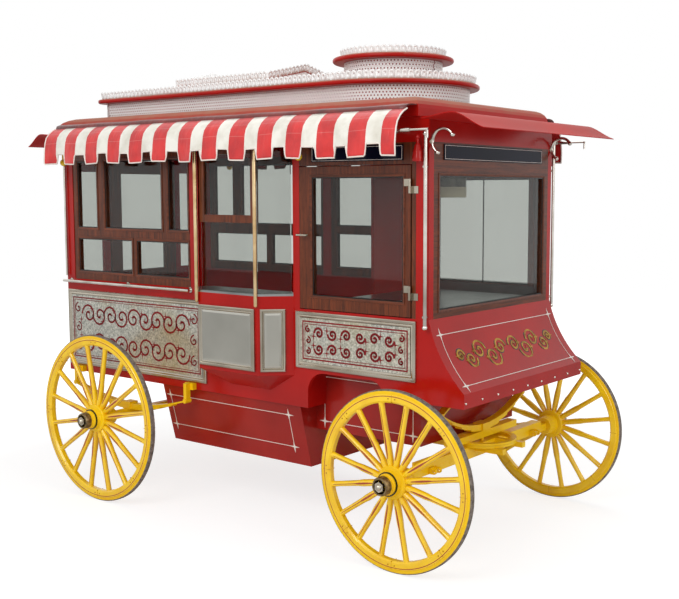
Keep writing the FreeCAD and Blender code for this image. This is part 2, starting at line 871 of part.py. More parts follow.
pole_x = half_length - 2
pole_y = -half_width - 30
pole_low_z = 1204.0
pole_high_z = 2150.0
lamp_x = half_length - 44
lamp_y = -half_width - 35
lamp_low_z = 2016.0


def corner_pole():
    pole = rod((pole_x, pole_y, pole_low_z), (pole_x, pole_y, pole_high_z), 9)
    pieces = [pole]
    for z in (front_waist_z + 15, 1990):
        pieces.append(rod((pole_x - 9, pole_y, z), (pole_x - 9, -half_width, z), 7))
    for z in (pole_low_z, pole_high_z):
        pieces.append(Part.makeSphere(13, Vector(pole_x, pole_y, z)))
    return joined(pieces)


def rear_pole():
    x = -half_length + 14
    y = -half_width - 14
    pole = rod((x, y, rear_waist_z + 20), (x, y, cornice_z), 7)
    feet = [rod((x, y, z), (x, -half_width, z), 6) for z in (rear_waist_z + 40, cornice_z - 20)]
    return joined([pole] + feet)


def corner_lamp():
    z = lamp_low_z
    profile = [(0, z), (27, z), (27, z + 16), (24, z + 48),
               (16, z + 76), (8, z + 89), (7, z + 112), (0, z + 112)]
    shade = polygon([(lamp_x + r, lamp_y, h) for r, h in profile])
    shade = shade.revolve(Vector(lamp_x, lamp_y, 0), Vector(0, 0, 1), 360)
    knob = Part.makeSphere(11, Vector(lamp_x, lamp_y, z + 118))
    arm = rod((lamp_x, lamp_y, z + 45), (lamp_x, -half_width, z + 45), 7)
    return joined([shade, knob, arm])


bracket_y = -half_width + 15
bracket_z = 2112.0
bracket_turn = 62.0
bracket_tube = 8.0


def hood_bracket():
    origin = Vector(0, 0, 0)
    centre = Vector(half_length + 70, bracket_y, bracket_z)
    tube = Part.makeTorus(bracket_turn, bracket_tube, origin, Vector(0, 0, 1), -180, 180, 210)
    tube.rotate(origin, Vector(0, 0, 1), 30)
    tube.rotate(origin, Vector(1, 0, 0), 90)
    pieces = [tube]
    for degrees in (30, 240):
        angle = math.radians(degrees)
        end = Vector(bracket_turn * math.cos(angle), 0, bracket_turn * math.sin(angle))
        pieces.append(Part.makeSphere(bracket_tube + 4, end))
    scroll = joined(pieces)
    scroll.translate(centre)
    wall_x = half_length
    stem = rod((wall_x, bracket_y, bracket_z), (wall_x + 70 - bracket_turn, bracket_y, bracket_z), 7)
    foot = rod((wall_x, bracket_y, bracket_z), (wall_x + 4, bracket_y, bracket_z), 14)
    return joined([scroll, stem, foot])


def bulb():
    pieces = []
    for x in bulb_x:
        pieces.append(joined([
            Part.makeSphere(21, Vector(x, -bulb_y, bulb_z)),
            rod((x, -bulb_y, bulb_z + 14), (x, -bulb_y, bulb_arm_z + 9), 8),
            rod((x, -bulb_y, bulb_arm_z), (x, -half_width, bulb_arm_z), 5),
        ]))
    return pieces


# Inside: popcorn case in front, partition behind it

case_floor_z = front_waist_z + 4


def case_shelf():
    return box(front_bay[0], half_length - joinery - 6, -half_width + post_depth, half_width - post_depth,
               case_floor_z, case_floor_z + 20)


def partition():
    return box(bay_front_x + 6, bay_front_x + 30, 60, half_width - post_depth - 1,
               sill_z + floor_thick, cornice_z)


tray_thick = 3.0
tray_z = case_floor_z + 20 + tray_thick


def case_tray():
    back = front_bay[0] + 3
    front = half_length - joinery - 1
    side = half_width - post_depth - 1
    pieces = [box(back, front, -side, side, tray_z - tray_thick, tray_z)]
    cove = [(side, tray_z - tray_thick), (side, tray_z + 48), (side - 64, tray_z - tray_thick)]
    pieces.append(prism_x(cove, back, front))
    liner = prism_z([(front - 46, side), (front, side - 54), (front, side)], tray_z - tray_thick, 2050)
    return joined(pieces + both(liner))


kettle_x = 1150.0
kettle_y = -60.0


def kettle():
    pot = rod((kettle_x, kettle_y, 1838), (kettle_x, kettle_y, 1972), 120)
    collar = rod((kettle_x, kettle_y, 1972), (kettle_x, kettle_y, 1990), 132)
    stem = rod((kettle_x, kettle_y, 1990), (kettle_x, kettle_y, eave_z), 14)
    return joined([pot, collar, stem])


# Wheels

def wheel(x, y_side, tread_half, radius):
    rim_outer = radius - tyre_depth
    rim_inner = rim_outer - felloe_depth
    centre = Vector(x, 0, radius)
    axis = Vector(0, 1, 0)
    ring = Part.makeCylinder(rim_outer, felloe_width, centre - axis * (felloe_width / 2), axis)
    ring = ring.cut(Part.makeCylinder(rim_inner, felloe_width, centre - axis * (felloe_width / 2), axis))
    profile = [(spindle_radius + bore_clearance, -hub_inner), (50, -hub_inner), (hub_radius - 6, -60),
               (hub_radius, -28), (hub_radius + 18, -24), (hub_radius + 18, 24), (hub_radius - 4, 28),
               (46, 70), (43, hub_outer), (34, hub_outer), (34, 78), (spindle_radius + bore_clearance, 78)]
    face = polygon([(x + r, -h, radius) for r, h in profile])
    hub = face.revolve(centre, axis, 360)
    pieces = [ring, hub]
    for i in range(spokes):
        turn = 360.0 * (i + 0.5) / spokes
        foot = centre + Vector(0, 0, hub_radius)
        blade = Part.makeCone(17, 12, rim_inner + 8 - hub_radius, foot, Vector(0, 0, 1))
        blade.rotate(centre, axis, turn)
        pieces.append(blade)
    whole = pieces[0].multiFuse(pieces[1:])
    whole.translate(Vector(0, -tread_half, 0))
    return whole if y_side < 0 else far(whole)


def tyre(x, y_side, tread_half, radius):
    start = Vector(x, y_side * tread_half - tyre_width / 2, radius)
    axis = Vector(0, 1, 0)
    ring = Part.makeCylinder(radius, tyre_width, start, axis)
    ring = ring.cut(Part.makeCylinder(radius - tyre_depth, tyre_width, start, axis))
    rim = [e for e in ring.Edges if abs(e.Length - 2 * math.pi * radius) < 1]
    return ring.makeFillet(8, rim)


def axle(x, tread_half, radius):
    inner_end = tread_half - hub_inner - wheel_gap
    side = axle_square / 2
    bar = box(x - side, x + side, -inner_end, inner_end, radius - side, radius + side)
    nut_in = tread_half + 78 + wheel_gap
    spindle = rod((x, -nut_in, radius), (x, nut_in, radius), spindle_radius)
    nuts = []
    for side_sign in (-1, 1):
        hexagon = [Vector(x + 27 * math.cos(math.radians(60 * i)), side_sign * nut_in,
                          radius + 27 * math.sin(math.radians(60 * i))) for i in range(6)]
        face = Part.Face(Part.makePolygon(hexagon + [hexagon[0]]))
        nuts.append(face.extrude(Vector(0, side_sign * 26, 0)))
    return joined([bar, spindle] + nuts)


# Front running gear, which turns about the kingpin

bed_low_z = front_radius + axle_square / 2
bed_top_z = bed_low_z + bed_height
lower_ring_top = bed_top_z + fifth_wheel_thick
upper_ring_low = lower_ring_top + fifth_wheel_gap
upper_ring_top = upper_ring_low + fifth_wheel_thick
head_top_z = upper_ring_top + 38


def ring_plate(z0, z1):
    base = Vector(front_axle_x, 0, z0)
    outer = Part.makeCylinder(fifth_wheel_radius, z1 - z0, base)
    return outer.cut(Part.makeCylinder(fifth_wheel_radius - fifth_wheel_width, z1 - z0, base))


def axle_bed():
    bed = box(front_axle_x - 30, front_axle_x + 30, -620, 620, bed_low_z, bed_top_z)
    hounds = [box(front_axle_x - 250, front_axle_x + 205, y - 16, y + 16, bed_low_z, bed_top_z)
              for y in (-105, 105)]
    whole = joined([bed] + hounds)
    hole = Part.makeCylinder(kingpin_radius + pin_clearance, bed_height, Vector(front_axle_x, 0, bed_low_z))
    return whole.cut(hole)


def lower_ring():
    return ring_plate(bed_top_z, lower_ring_top)


def thill_couplings():
    pieces = []
    face = front_axle_x + axle_square / 2
    eye_x = face + 32
    for y in (-thill_y, thill_y):
        for sign in (-1, 1):
            inner = y + sign * thill_gap / 2
            outer = inner + sign * thill_ear
            low = min(inner, outer)
            ear = box(face, eye_x, inner, outer, front_radius - 16, front_radius + 16)
            nose = Part.makeCylinder(16, thill_ear, Vector(eye_x, low, front_radius), Vector(0, 1, 0))
            pieces.append(ear.fuse(nose))
        pieces.append(box(face, face + 10, y - thill_gap / 2 - thill_ear, y + thill_gap / 2 + thill_ear,
                          front_radius - 16, front_radius + 16))
    couplings = joined(pieces)
    for y in (-thill_y, thill_y):
        start = Vector(eye_x, y - 60, front_radius)
        couplings = couplings.cut(Part.makeCylinder(thill_bore, 120, start, Vector(0, 1, 0)))
    return couplings


# Body side of the fifth wheel, and the springs

def head_block():
    plate = ring_plate(upper_ring_low, upper_ring_top)
    block = box(front_axle_x - 30, front_axle_x + 30, -330, 330, upper_ring_top, head_top_z)
    pin_low_z = bed_low_z + fifth_wheel_gap
    pin = Part.makeCylinder(kingpin_radius, upper_ring_top - pin_low_z, Vector(front_axle_x, 0, pin_low_z))
    return joined([plate, block, pin])


front_spring_half = 420.0
front_spring_low = head_top_z
front_spring_high = arch_top_z - 40


def leaf(half, drop, z):
    radius = (half ** 2 + drop ** 2) / (2 * drop)
    centre = Vector(-leaf_width / 2, 0, z + radius + leaf_thick)
    outer = Part.makeCylinder(radius + leaf_thick, leaf_width, centre, Vector(1, 0, 0))
    inner = Part.makeCylinder(radius, leaf_width, centre, Vector(1, 0, 0))
    keep = box(-leaf_width, leaf_width, -half, half, z, z + drop + leaf_thick)
    return outer.cut(inner).common(keep)


def leaf_stack(half, drop):
    leaves = []
    for i, share in enumerate(leaf_shares):
        z = (len(leaf_shares) - 1 - i) * leaf_thick
        leaves.append(leaf(half * share, drop * share ** 2, z))
    return joined(leaves)


stack_height = (len(leaf_shares) - 0.5) * leaf_thick


def front_spring():
    middle = (front_spring_low + front_spring_high) / 2
    drop = middle - front_spring_low - stack_height
    lower = leaf_stack(front_spring_half, drop)
    lower.translate(Vector(front_axle_x, 0, front_spring_low))
    upper = lower.mirror(Vector(0, 0, middle), Vector(0, 0, 1))
    pieces = [lower, upper]
    for y in (-front_spring_half, front_spring_half):
        start = Vector(front_axle_x - leaf_width / 2, y, middle)
        pieces.append(Part.makeCylinder(eye_radius, leaf_width, start, Vector(1, 0, 0)))
    for z0, z1 in ((front_spring_low, front_spring_low + 40), (front_spring_high - 40, front_spring_high)):
        pieces.append(box(front_axle_x - 32, front_axle_x + 32, -40, 40, z0, z1))
    pieces.append(box(front_axle_x - 40, front_axle_x + 40, -80, 80, front_spring_high, arch_top_z))
    return joined(pieces)


axle_top_z = rear_radius + axle_square / 2
rear_spring_drop = 78.0


def rear_spring():
    stack = leaf_stack(spring_half, rear_spring_drop)
    stack.rotate(Vector(0, 0, 0), Vector(0, 0, 1), 90)
    stack.translate(Vector(rear_axle_x, -spring_y, axle_top_z))
    end_z = axle_top_z + rear_spring_drop + stack_height
    pieces = [stack]
    for sign in (-1, 1):
        x = rear_axle_x + sign * spring_half
        start = Vector(x, -spring_y - leaf_width / 2, end_z)
        pieces.append(Part.makeCylinder(eye_radius, leaf_width, start, Vector(0, 1, 0)))
        pieces.append(box(x - 12, x + 12, -spring_y - 16, -spring_y + 16, end_z, sill_z + hanger_height))
        pieces.append(box(x - 34, x + 34, -spring_y + 16, -half_width, sill_z, sill_z + hanger_height))
    pieces.append(box(rear_axle_x - 34, rear_axle_x + 34, -spring_y - 32, -spring_y + 32,
                      axle_top_z, axle_top_z + 46))
    return joined(pieces)


save("floor_boards", [floor()])
save("side_walls", both(side_wall()))
save("tank_box", [tank()])
save("wheel_well_box", [well()])
save("front_apron", [apron()])
save("cabin_frame", [cabin_frame()])
save("rear_panels", both(rear_panel()))
save("side_window_frames", side_windows() + [popcorn_jamb()])
save("front_window_frame", [front_window()])
save("cabin_glass", side_glass() + [front_glass()] + both(rear_panel_glass()))
save("hinge_jambs", hinge_jambs())
save("serving_bay", [joined([bay_box(), bay_keel()])])
save("bay_counter", [bay_counter()])
save("bay_head", [bay_head()])
save("bay_sash", [bay_sash()])
save("bay_glass", bay_glazing())
save("bay_posts", bay_posts())
save("sign_mouldings", sign_mouldings())
save("sign_mirrors", sign_mirrors())
save("transom_signs", transom_plates())
save("roof", [roof()])
save("gallery_bands", bands())
save("gallery_flanges", flanges())
save("gallery_crests", crests() + [skylight_crest()])
save("skylight", [skylight()])
save("end_hoods", [hood(front_hood_reach), rear(hood(rear_hood_reach))])
save("awnings", both(awning()))
save("awning_covers", both(awning_cover()))
save("awning_bars", both(awning_bar()))
save("handrails", both(handrail()))
save("corner_poles", both(corner_pole()) + both(rear_pole()))
save("corner_lamps", both(corner_lamp()))
save("hood_brackets", both(hood_bracket()))
save("awning_bulbs", bulb() + [far(b) for b in bulb()])
save("case_shelf", [case_shelf()])
save("case_tray", [case_tray()])
save("partition", [partition()])
save("popper_kettle", [kettle()])
save("popcorn_door", [popcorn_door()])
save("popcorn_door_glass", [popcorn_glass()])
save("popcorn_door_fittings", popcorn_fittings())
save("rear_door", [rear_door()])
save("rear_door_glass", [rear_door_glass()])
save("rear_axle", [axle(rear_axle_x, rear_tread_half, rear_radius)])
save("rear_springs", both(rear_spring()))
save("front_spring", [front_spring()])
save("fifth_wheel_head", [head_block()])
save("front_axle", [axle(front_axle_x, front_tread_half, front_radius)])
save("axle_bed", [axle_bed()])
save("fifth_wheel_plate", [lower_ring()])
save("shaft_couplings", [thill_couplings()])
for corner, x, side, tread, radius in (
        ("front_near", front_axle_x, -1, front_tread_half, front_radius),
        ("front_far", front_axle_x, 1, front_tread_half, front_radius),
        ("rear_near", rear_axle_x, -1, rear_tread_half, rear_radius),
        ("rear_far", rear_axle_x, 1, rear_tread_half, rear_radius)):
    save("wheel_" + corner, [wheel(x, side, tread, radius)])
    save("tyre_" + corner, [tyre(x, side, tread, radius)])
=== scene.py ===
import bmesh
import bpy
import math
from mathutils import Matrix, Vector


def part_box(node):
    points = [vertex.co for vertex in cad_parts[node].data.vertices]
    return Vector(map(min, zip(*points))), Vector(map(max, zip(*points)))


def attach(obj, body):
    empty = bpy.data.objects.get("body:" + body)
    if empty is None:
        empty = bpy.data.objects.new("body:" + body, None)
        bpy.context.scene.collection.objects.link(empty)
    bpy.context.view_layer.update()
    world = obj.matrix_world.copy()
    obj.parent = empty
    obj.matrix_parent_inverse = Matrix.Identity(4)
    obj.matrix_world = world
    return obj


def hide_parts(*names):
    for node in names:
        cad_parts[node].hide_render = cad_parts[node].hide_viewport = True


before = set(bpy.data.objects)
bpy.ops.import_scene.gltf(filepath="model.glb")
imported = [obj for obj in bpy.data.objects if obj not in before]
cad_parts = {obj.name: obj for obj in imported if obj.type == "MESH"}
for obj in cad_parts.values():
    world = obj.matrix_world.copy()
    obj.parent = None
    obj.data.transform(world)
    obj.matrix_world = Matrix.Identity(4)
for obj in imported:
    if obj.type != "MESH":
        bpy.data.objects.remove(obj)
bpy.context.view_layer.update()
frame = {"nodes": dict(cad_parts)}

cabinLow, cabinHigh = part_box("cabin_frame")
midX = (cabinLow.x + cabinHigh.x) / 2  # the middle of the body, which the sizes below are measured from
wagonBody = "wagon_body"


# small tools

def linearColour(code):
    channels = [int(code[i:i + 2], 16) / 255 for i in (1, 3, 5)]
    return [c / 12.92 if c <= 0.04045 else ((c + 0.055) / 1.055) ** 2.4 for c in channels] + [1.0]


def addNode(tree, kind, sockets=None, stops=(), **settings):
    # a socket takes a number, another node's first output, or a named output; stops are a ramp's colours
    node = tree.nodes.new("ShaderNode" + kind)
    for name, value in settings.items():
        setattr(node, name, value)
    for i, (position, colour) in enumerate(stops):
        node.color_ramp.elements[i].position = position
        node.color_ramp.elements[i].color = linearColour(colour)
    for socket, value in (sockets or {}).items():
        if isinstance(value, bpy.types.Node):
            value = value.outputs[0]
        if isinstance(value, bpy.types.NodeSocket):
            tree.links.new(value, node.inputs[socket])
        else:
            node.inputs[socket].default_value = value
    return node


def newMaterial(name):
    material = bpy.data.materials.new(name)
    material.use_nodes = True
    tree = material.node_tree
    tree.nodes.clear()
    return material, tree, addNode(tree, "TexCoord").outputs["Object"]


def closeMaterial(tree, shader):
    addNode(tree, "OutputMaterial", {"Surface": shader})


def makePiece(name, bm, material, body, replaced=(), sharp=35):
    bmesh.ops.remove_doubles(bm, verts=bm.verts, dist=0.00002)
    bmesh.ops.recalc_face_normals(bm, faces=bm.faces)
    return placePiece(name, bm, material, body, replaced, sharp)


def placePiece(name, bm, material, body, replaced=(), sharp=35):
    mesh = bpy.data.meshes.new(name)
    bm.to_mesh(mesh)
    bm.free()
    mesh.shade_smooth()
    mesh.set_sharp_from_angle(angle=math.radians(sharp))
    piece = bpy.data.objects.new(name, mesh)
    bpy.context.scene.collection.objects.link(piece)
    mesh.materials.append(material)
    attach(piece, body)
    if replaced:
        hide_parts(*replaced)
    return piece


def addBar(bm, low, high):
    low, high = Vector(low), Vector(high)
    bar = bmesh.ops.create_cube(bm, size=1.0)["verts"]
    bmesh.ops.scale(bm, vec=high - low, verts=bar)
    bmesh.ops.translate(bm, vec=(low + high) / 2, verts=bar)


def addRod(bm, start, end, radius):
    start, end = Vector(start), Vector(end)
    turn = (end - start).to_track_quat("Z", "Y").to_matrix().to_4x4()
    place = Matrix.Translation((start + end) / 2) @ turn
    bmesh.ops.create_cone(bm, cap_ends=True, segments=10, radius1=radius, radius2=radius,
                          depth=(end - start).length, matrix=place)


def addDome(bm, centre, radius, rings=5, segments=8):
    bmesh.ops.create_uvsphere(bm, u_segments=segments, v_segments=rings, radius=radius,
                              matrix=Matrix.Translation(Vector(centre)))


def addStripe(bm, points, up, width, rise=0.0008):
    # a thin painted line laid along points, facing up
    up = Vector(up).normalized()
    for a, b in zip(points, points[1:]):
        a, b = Vector(a), Vector(b)
        along = (b - a).normalized()
        side = up.cross(along)
        turn = Matrix((along, side, up)).transposed().to_4x4()
        size = Matrix.Diagonal(((b - a).length + width * 0.2, width, rise, 1))
        bmesh.ops.create_cube(bm, size=1.0, matrix=Matrix.Translation((a + b) / 2) @ turn @ size)


# finishes, each named for the real material, except the darker reds that stand for painted shade

def coachEnamel(name, look):
    # brushed coach enamel on wood and sheet steel: an even deep colour, faint waviness, a wet gloss
    material, tree, place = newMaterial(name)
    cloud = addNode(tree, "TexNoise", {"Vector": place, "Scale": 1000 / look["cloudMm"], "Detail": 4.0})
    colour = addNode(tree, "ValToRGB", {"Fac": cloud}, stops=((0.3, look["deep"]), (0.7, look["colour"])))
    gloss = addNode(tree, "MapRange", {"Value": cloud, "To Min": look["gloss"][0],
                                       "To Max": look["gloss"][1]})
    if look.get("dust"):
        # settled dust lies on faces that look up and thins out in cloudy patches
        facing = addNode(tree, "SeparateXYZ", {"Vector": addNode(tree, "NewGeometry").outputs["Normal"]})
        settle = addNode(tree, "MapRange", {"Value": facing.outputs["Z"], "From Min": look["dustFrom"],
                                            "From Max": 0.9, "To Max": look["dust"]})
        patch = addNode(tree, "TexNoise", {"Vector": place, "Scale": 1000 / 160, "Detail": 6.0,
                                           "Roughness": 0.62})
        thin = addNode(tree, "MapRange", {"Value": patch, "From Min": 0.36,
                                          "From Max": 0.58, "To Min": 0.55})
        amount = addNode(tree, "Math", {0: settle, 1: thin}, operation="MULTIPLY")
        mixed = addNode(tree, "Mix", {0: amount, 6: colour, 7: linearColour(look["dustColour"])},
                        data_type="RGBA")
        colour = mixed.outputs[2]
        dull = addNode(tree, "MapRange", {"Value": amount, "To Min": 0.0, "To Max": 0.45})
        gloss = addNode(tree, "Math", {0: gloss, 1: dull}, operation="ADD")
    ripple = addNode(tree, "TexNoise", {"Vector": place, "Scale": 1000 / look["rippleMm"], "Detail": 2.0})
    bump = addNode(tree, "Bump", {"Height": ripple, "Strength": look["ripple"], "Distance": 0.0006})
    shader = addNode(tree, "BsdfPrincipled", {"Base Color": colour, "Roughness": gloss,
                                              "Normal": bump, "IOR": 1.5,
                                              "Specular IOR Level": look.get("shine", 0.5),
                                              "Coat Weight": look["coat"], "Coat Roughness": 0.08})
    closeMaterial(tree, shader)
    return material


def platedMetal(name, look):
    # rolled or plated metal: a coloured mirror, softened by fine rubbing marks and a little tarnish
    material, tree, place = newMaterial(name)
    tarnish = addNode(tree, "TexNoise", {"Vector": place, "Scale": 1000 / look["tarnishMm"], "Detail": 5.0})
    ramp = addNode(tree, "ValToRGB", {"Fac": tarnish},
                   stops=((0.32, look["tarnish"]), (0.62, look["colour"])))
    rub = addNode(tree, "Mapping", {"Vector": place, "Scale": look["rub"]})
    marks = addNode(tree, "TexNoise", {"Vector": rub, "Scale": 1.0, "Detail": 3.0})
    rough = addNode(tree, "MapRange", {"Value": marks, "To Min": look["gloss"][0],
                                       "To Max": look["gloss"][1]})
    bump = addNode(tree, "Bump", {"Height": marks, "Strength": 0.12, "Distance": 0.0003})
    shader = addNode(tree, "BsdfPrincipled", {"Base Color": ramp, "Metallic": 1.0, "Roughness": rough,
                                              "Normal": bump})
    closeMaterial(tree, shader)
    return material


def varnishedTimber(name, look):
    # varnished hardwood: long fine pores along the board, wide light and dark figure, a soft gloss
    material, tree, place = newMaterial(name)
    stretch = addNode(tree, "Mapping", {"Vector": place, "Scale": look["figure"]})
    figure = addNode(tree, "TexNoise", {"Vector": stretch, "Scale": 1.0, "Detail": 5.0, "Distortion": 0.6})
    ramp = addNode(tree, "ValToRGB", {"Fac": figure}, stops=((0.3, look["deep"]), (0.68, look["colour"])))
    fine = addNode(tree, "Mapping", {"Vector": place, "Scale": [v * 6 for v in look["figure"]]})
    pores = addNode(tree, "TexNoise", {"Vector": fine, "Scale": 1.0, "Detail": 2.0})
    poreMask = addNode(tree, "MapRange", {"Value": pores, "From Min": 0.36,
                                          "From Max": 0.46, "To Min": 0.55, "To Max": 0.0})
    dark = addNode(tree, "Mix", {0: poreMask, 6: ramp, 7: linearColour(look["pore"])}, data_type="RGBA")
    bump = addNode(tree, "Bump", {"Height": pores, "Strength": 0.1, "Distance": 0.0004})
    shader = addNode(tree, "BsdfPrincipled", {"Base Color": dark.outputs[2], "Roughness": look["rough"],
                                              "Normal": bump, "Specular IOR Level": 0.3,
                                              "Coat Weight": look["coat"], "Coat Roughness": 0.12})
    closeMaterial(tree, shader)
    return material


redLook = dict(colour="#B8140E", deep="#A0100B", gloss=(0.16, 0.26), coat=0.04, shine=0.26, cloudMm=420,
               rippleMm=24, ripple=0.10)
redEnamel = coachEnamel("redCoachEnamel", redLook)
dustyRed = coachEnamel("dustyRedEnamel", dict(redLook, gloss=(0.3, 0.42), shine=0.16, dust=0.78,
                                              dustFrom=0.18, dustColour="#A08068"))
hoodRed = coachEnamel("weatheredRedEnamel", dict(redLook, gloss=(0.42, 0.55), shine=0.14, dust=0.10,
                                                 dustFrom=0.4, dustColour="#B08C7A"))
# painted shade: a darker copy of the red enamel for the tank box, wheel-well box, partition and gallery band
# backing, which sit in shade
paintedShadeRed = coachEnamel("shadedRedEnamel", dict(redLook, colour="#A82119", deep="#8E1812"))
maroon = coachEnamel("maroonEnamel", dict(redLook, colour="#5A1214", deep="#450C0E", coat=0.2))
whiteEnamel = coachEnamel("whiteEnamel", dict(redLook, colour="#FCFBFA", deep="#F4F2F0", coat=0.2,
                                              shine=0.5, ripple=0.05))
blackEnamel = coachEnamel("blackEnamel", dict(redLook, colour="#1A1716", deep="#0F0D0C", coat=0.3))
yellowLook = dict(redLook, colour="#FFD414", deep="#F2BE0A", gloss=(0.22, 0.34))
yellowEnamel = coachEnamel("yellowCoachEnamel", yellowLook)
globeYellow = coachEnamel("yellowGlobeGlass", dict(yellowLook, colour="#FFDC14", deep="#FBC808", coat=0.6))
pinstripe = coachEnamel("creamLiningPaint", dict(redLook, colour="#F4ECE4", deep="#E6D9CF", coat=0.1))
signRed = coachEnamel("redSignPaint", dict(redLook, colour="#8E1A1E", deep="#741318", coat=0.1))
navySign = coachEnamel("navySignGlass", dict(redLook, colour="#12162B", deep="#0B0E1D", gloss=(0.1, 0.16),
                                             shine=0.12, coat=0.0))
darkYellow = coachEnamel("ochreEnamel", dict(yellowLook, colour="#C98F16", deep="#A87410"))
ivoryEnamel = coachEnamel("ivoryEnamel", dict(redLook, colour="#CFC5AE", deep="#B7AC94"))

nickel = platedMetal("agedNickelPlate", dict(colour="#C2BAAB", tarnish="#A59C8C", tarnishMm=240,
                                             gloss=(0.14, 0.24), rub=(30, 30, 30)))
brightNickel = platedMetal("polishedNickel", dict(colour="#D8D3CB", tarnish="#B9B1A6", tarnishMm=120,
                                                  gloss=(0.08, 0.2), rub=(300, 300, 40)))
stainless = platedMetal("stainlessSheet", dict(colour="#A7A9A8", tarnish="#8B8E8E", tarnishMm=220,
                                               gloss=(0.22, 0.4), rub=(20, 400, 400)))
brass = platedMetal("paleBrassTube", dict(colour="#E3C79A", tarnish="#C6A272", tarnishMm=120,
                                          gloss=(0.14, 0.28), rub=(300, 300, 30)))
darkBronze = platedMetal("oiledBronze", dict(colour="#9A8560", tarnish="#5C4C36", tarnishMm=18,
                                             gloss=(0.3, 0.5), rub=(200, 200, 200)))
greySilver = platedMetal("silveredGlass", dict(colour="#BDBBB2", tarnish="#B0AEA5", tarnishMm=300,
                                               gloss=(0.18, 0.24), rub=(6, 6, 6)))

smokedSteel = platedMetal("smokedSteelKettle", dict(colour="#5E5A50", tarnish="#3A3731", tarnishMm=60,
                                                   gloss=(0.25, 0.4), rub=(60, 60, 60)))
goldLeaf = platedMetal("burnishedGoldLeaf", dict(colour="#B98F3E", tarnish="#7E5A22", tarnishMm=50,
                                                 gloss=(0.22, 0.36), rub=(90, 90, 90)))

mahoganyLook = dict(colour="#78381A", deep="#46200F", pore="#240D06", rough=0.3, coat=0.06)
mahoganyUp = varnishedTimber("mahoganyUpright", dict(mahoganyLook, figure=(70, 70, 3.5)))
mahoganyAlong = varnishedTimber("mahoganyRail", dict(mahoganyLook, figure=(3.5, 70, 70)))
mahoganyAcross = varnishedTimber("mahoganyCrossRail", dict(mahoganyLook, figure=(70, 3.5, 70)))
maple = varnishedTimber("mapleBoard", dict(colour="#D9A873", deep="#BE8A55", pore="#9A6A3C", rough=0.4,
                                           coat=0.2, figure=(70, 3.0, 70)))


def windowGlass():
    # plain drawn glass, a little grey with age and film: clear, with sharp reflections
    material, tree, place = newMaterial("drawnWindowGlass")
    wave = addNode(tree, "TexNoise", {"Vector": place, "Scale": 1000 / 260, "Detail": 1.0})
    bump = addNode(tree, "Bump", {"Height": wave, "Strength": 0.05, "Distance": 0.001})
    glass = addNode(tree, "BsdfPrincipled", {"Base Color": linearColour("#CDD0CC"), "Roughness": 0.0,
                                             "IOR": 1.3, "Transmission Weight": 1.0,
                                             "Normal": bump})
    clear = addNode(tree, "BsdfTransparent", {"Color": linearColour("#ECEEEB")})
    path = addNode(tree, "LightPath")
    both = addNode(tree, "MixShader", {0: path.outputs["Is Shadow Ray"], 1: glass, 2: clear})
    closeMaterial(tree, both)
    return material


def stippledMirror():
    # silvered sign glass with a chipped-glue field: fine silver and gold flakes
    material, tree, place = newMaterial("chippedSilverLeaf")
    flake = addNode(tree, "TexVoronoi", {"Vector": place, "Scale": 1000 / 7})  # real flakes are nearer 2 mm
    grain = addNode(tree, "TexNoise", {"Vector": place, "Scale": 1000 / 12, "Detail": 4.0, "Roughness": 0.7})
    ramp = addNode(tree, "ValToRGB", {"Fac": grain}, stops=((0.38, "#94958C"), (0.66, "#E8E6DA")))
    warm = addNode(tree, "TexNoise", {"Vector": place, "Scale": 1000 / 380})
    tint = addNode(tree, "MapRange", {"Value": warm, "From Min": 0.45, "From Max": 0.62, "To Max": 0.4})
    gold = addNode(tree, "Mix", {0: tint, 6: ramp, 7: linearColour("#B7A66E")}, data_type="RGBA")
    bump = addNode(tree, "Bump", {"Height": flake, "Strength": 0.35, "Distance": 0.001})
    shader = addNode(tree, "BsdfPrincipled", {"Base Color": gold.outputs[2], "Metallic": 0.75,
                                              "Roughness": 0.3, "Normal": bump,
                                              "Coat Weight": 0.6, "Coat Roughness": 0.03})
    closeMaterial(tree, shader)
    return material


def wornRubber():
    # old solid rubber tyre: grey-brown, dusty and nicked
    material, tree, place = newMaterial("wornSolidRubber")
    dirt = addNode(tree, "TexNoise", {"Vector": place, "Scale": 1000 / 22, "Detail": 8.0, "Roughness": 0.7})
    ramp = addNode(tree, "ValToRGB", {"Fac": dirt}, stops=((0.35, "#4A413C"), (0.68, "#94877C")))
    nicks = addNode(tree, "TexVoronoi", {"Vector": place, "Scale": 1000 / 9})
    bump = addNode(tree, "Bump", {"Height": nicks, "Strength": 0.5, "Distance": 0.001})
    shader = addNode(tree, "BsdfPrincipled", {"Base Color": ramp, "Roughness": 0.85, "Normal": bump})
    closeMaterial(tree, shader)
    return material


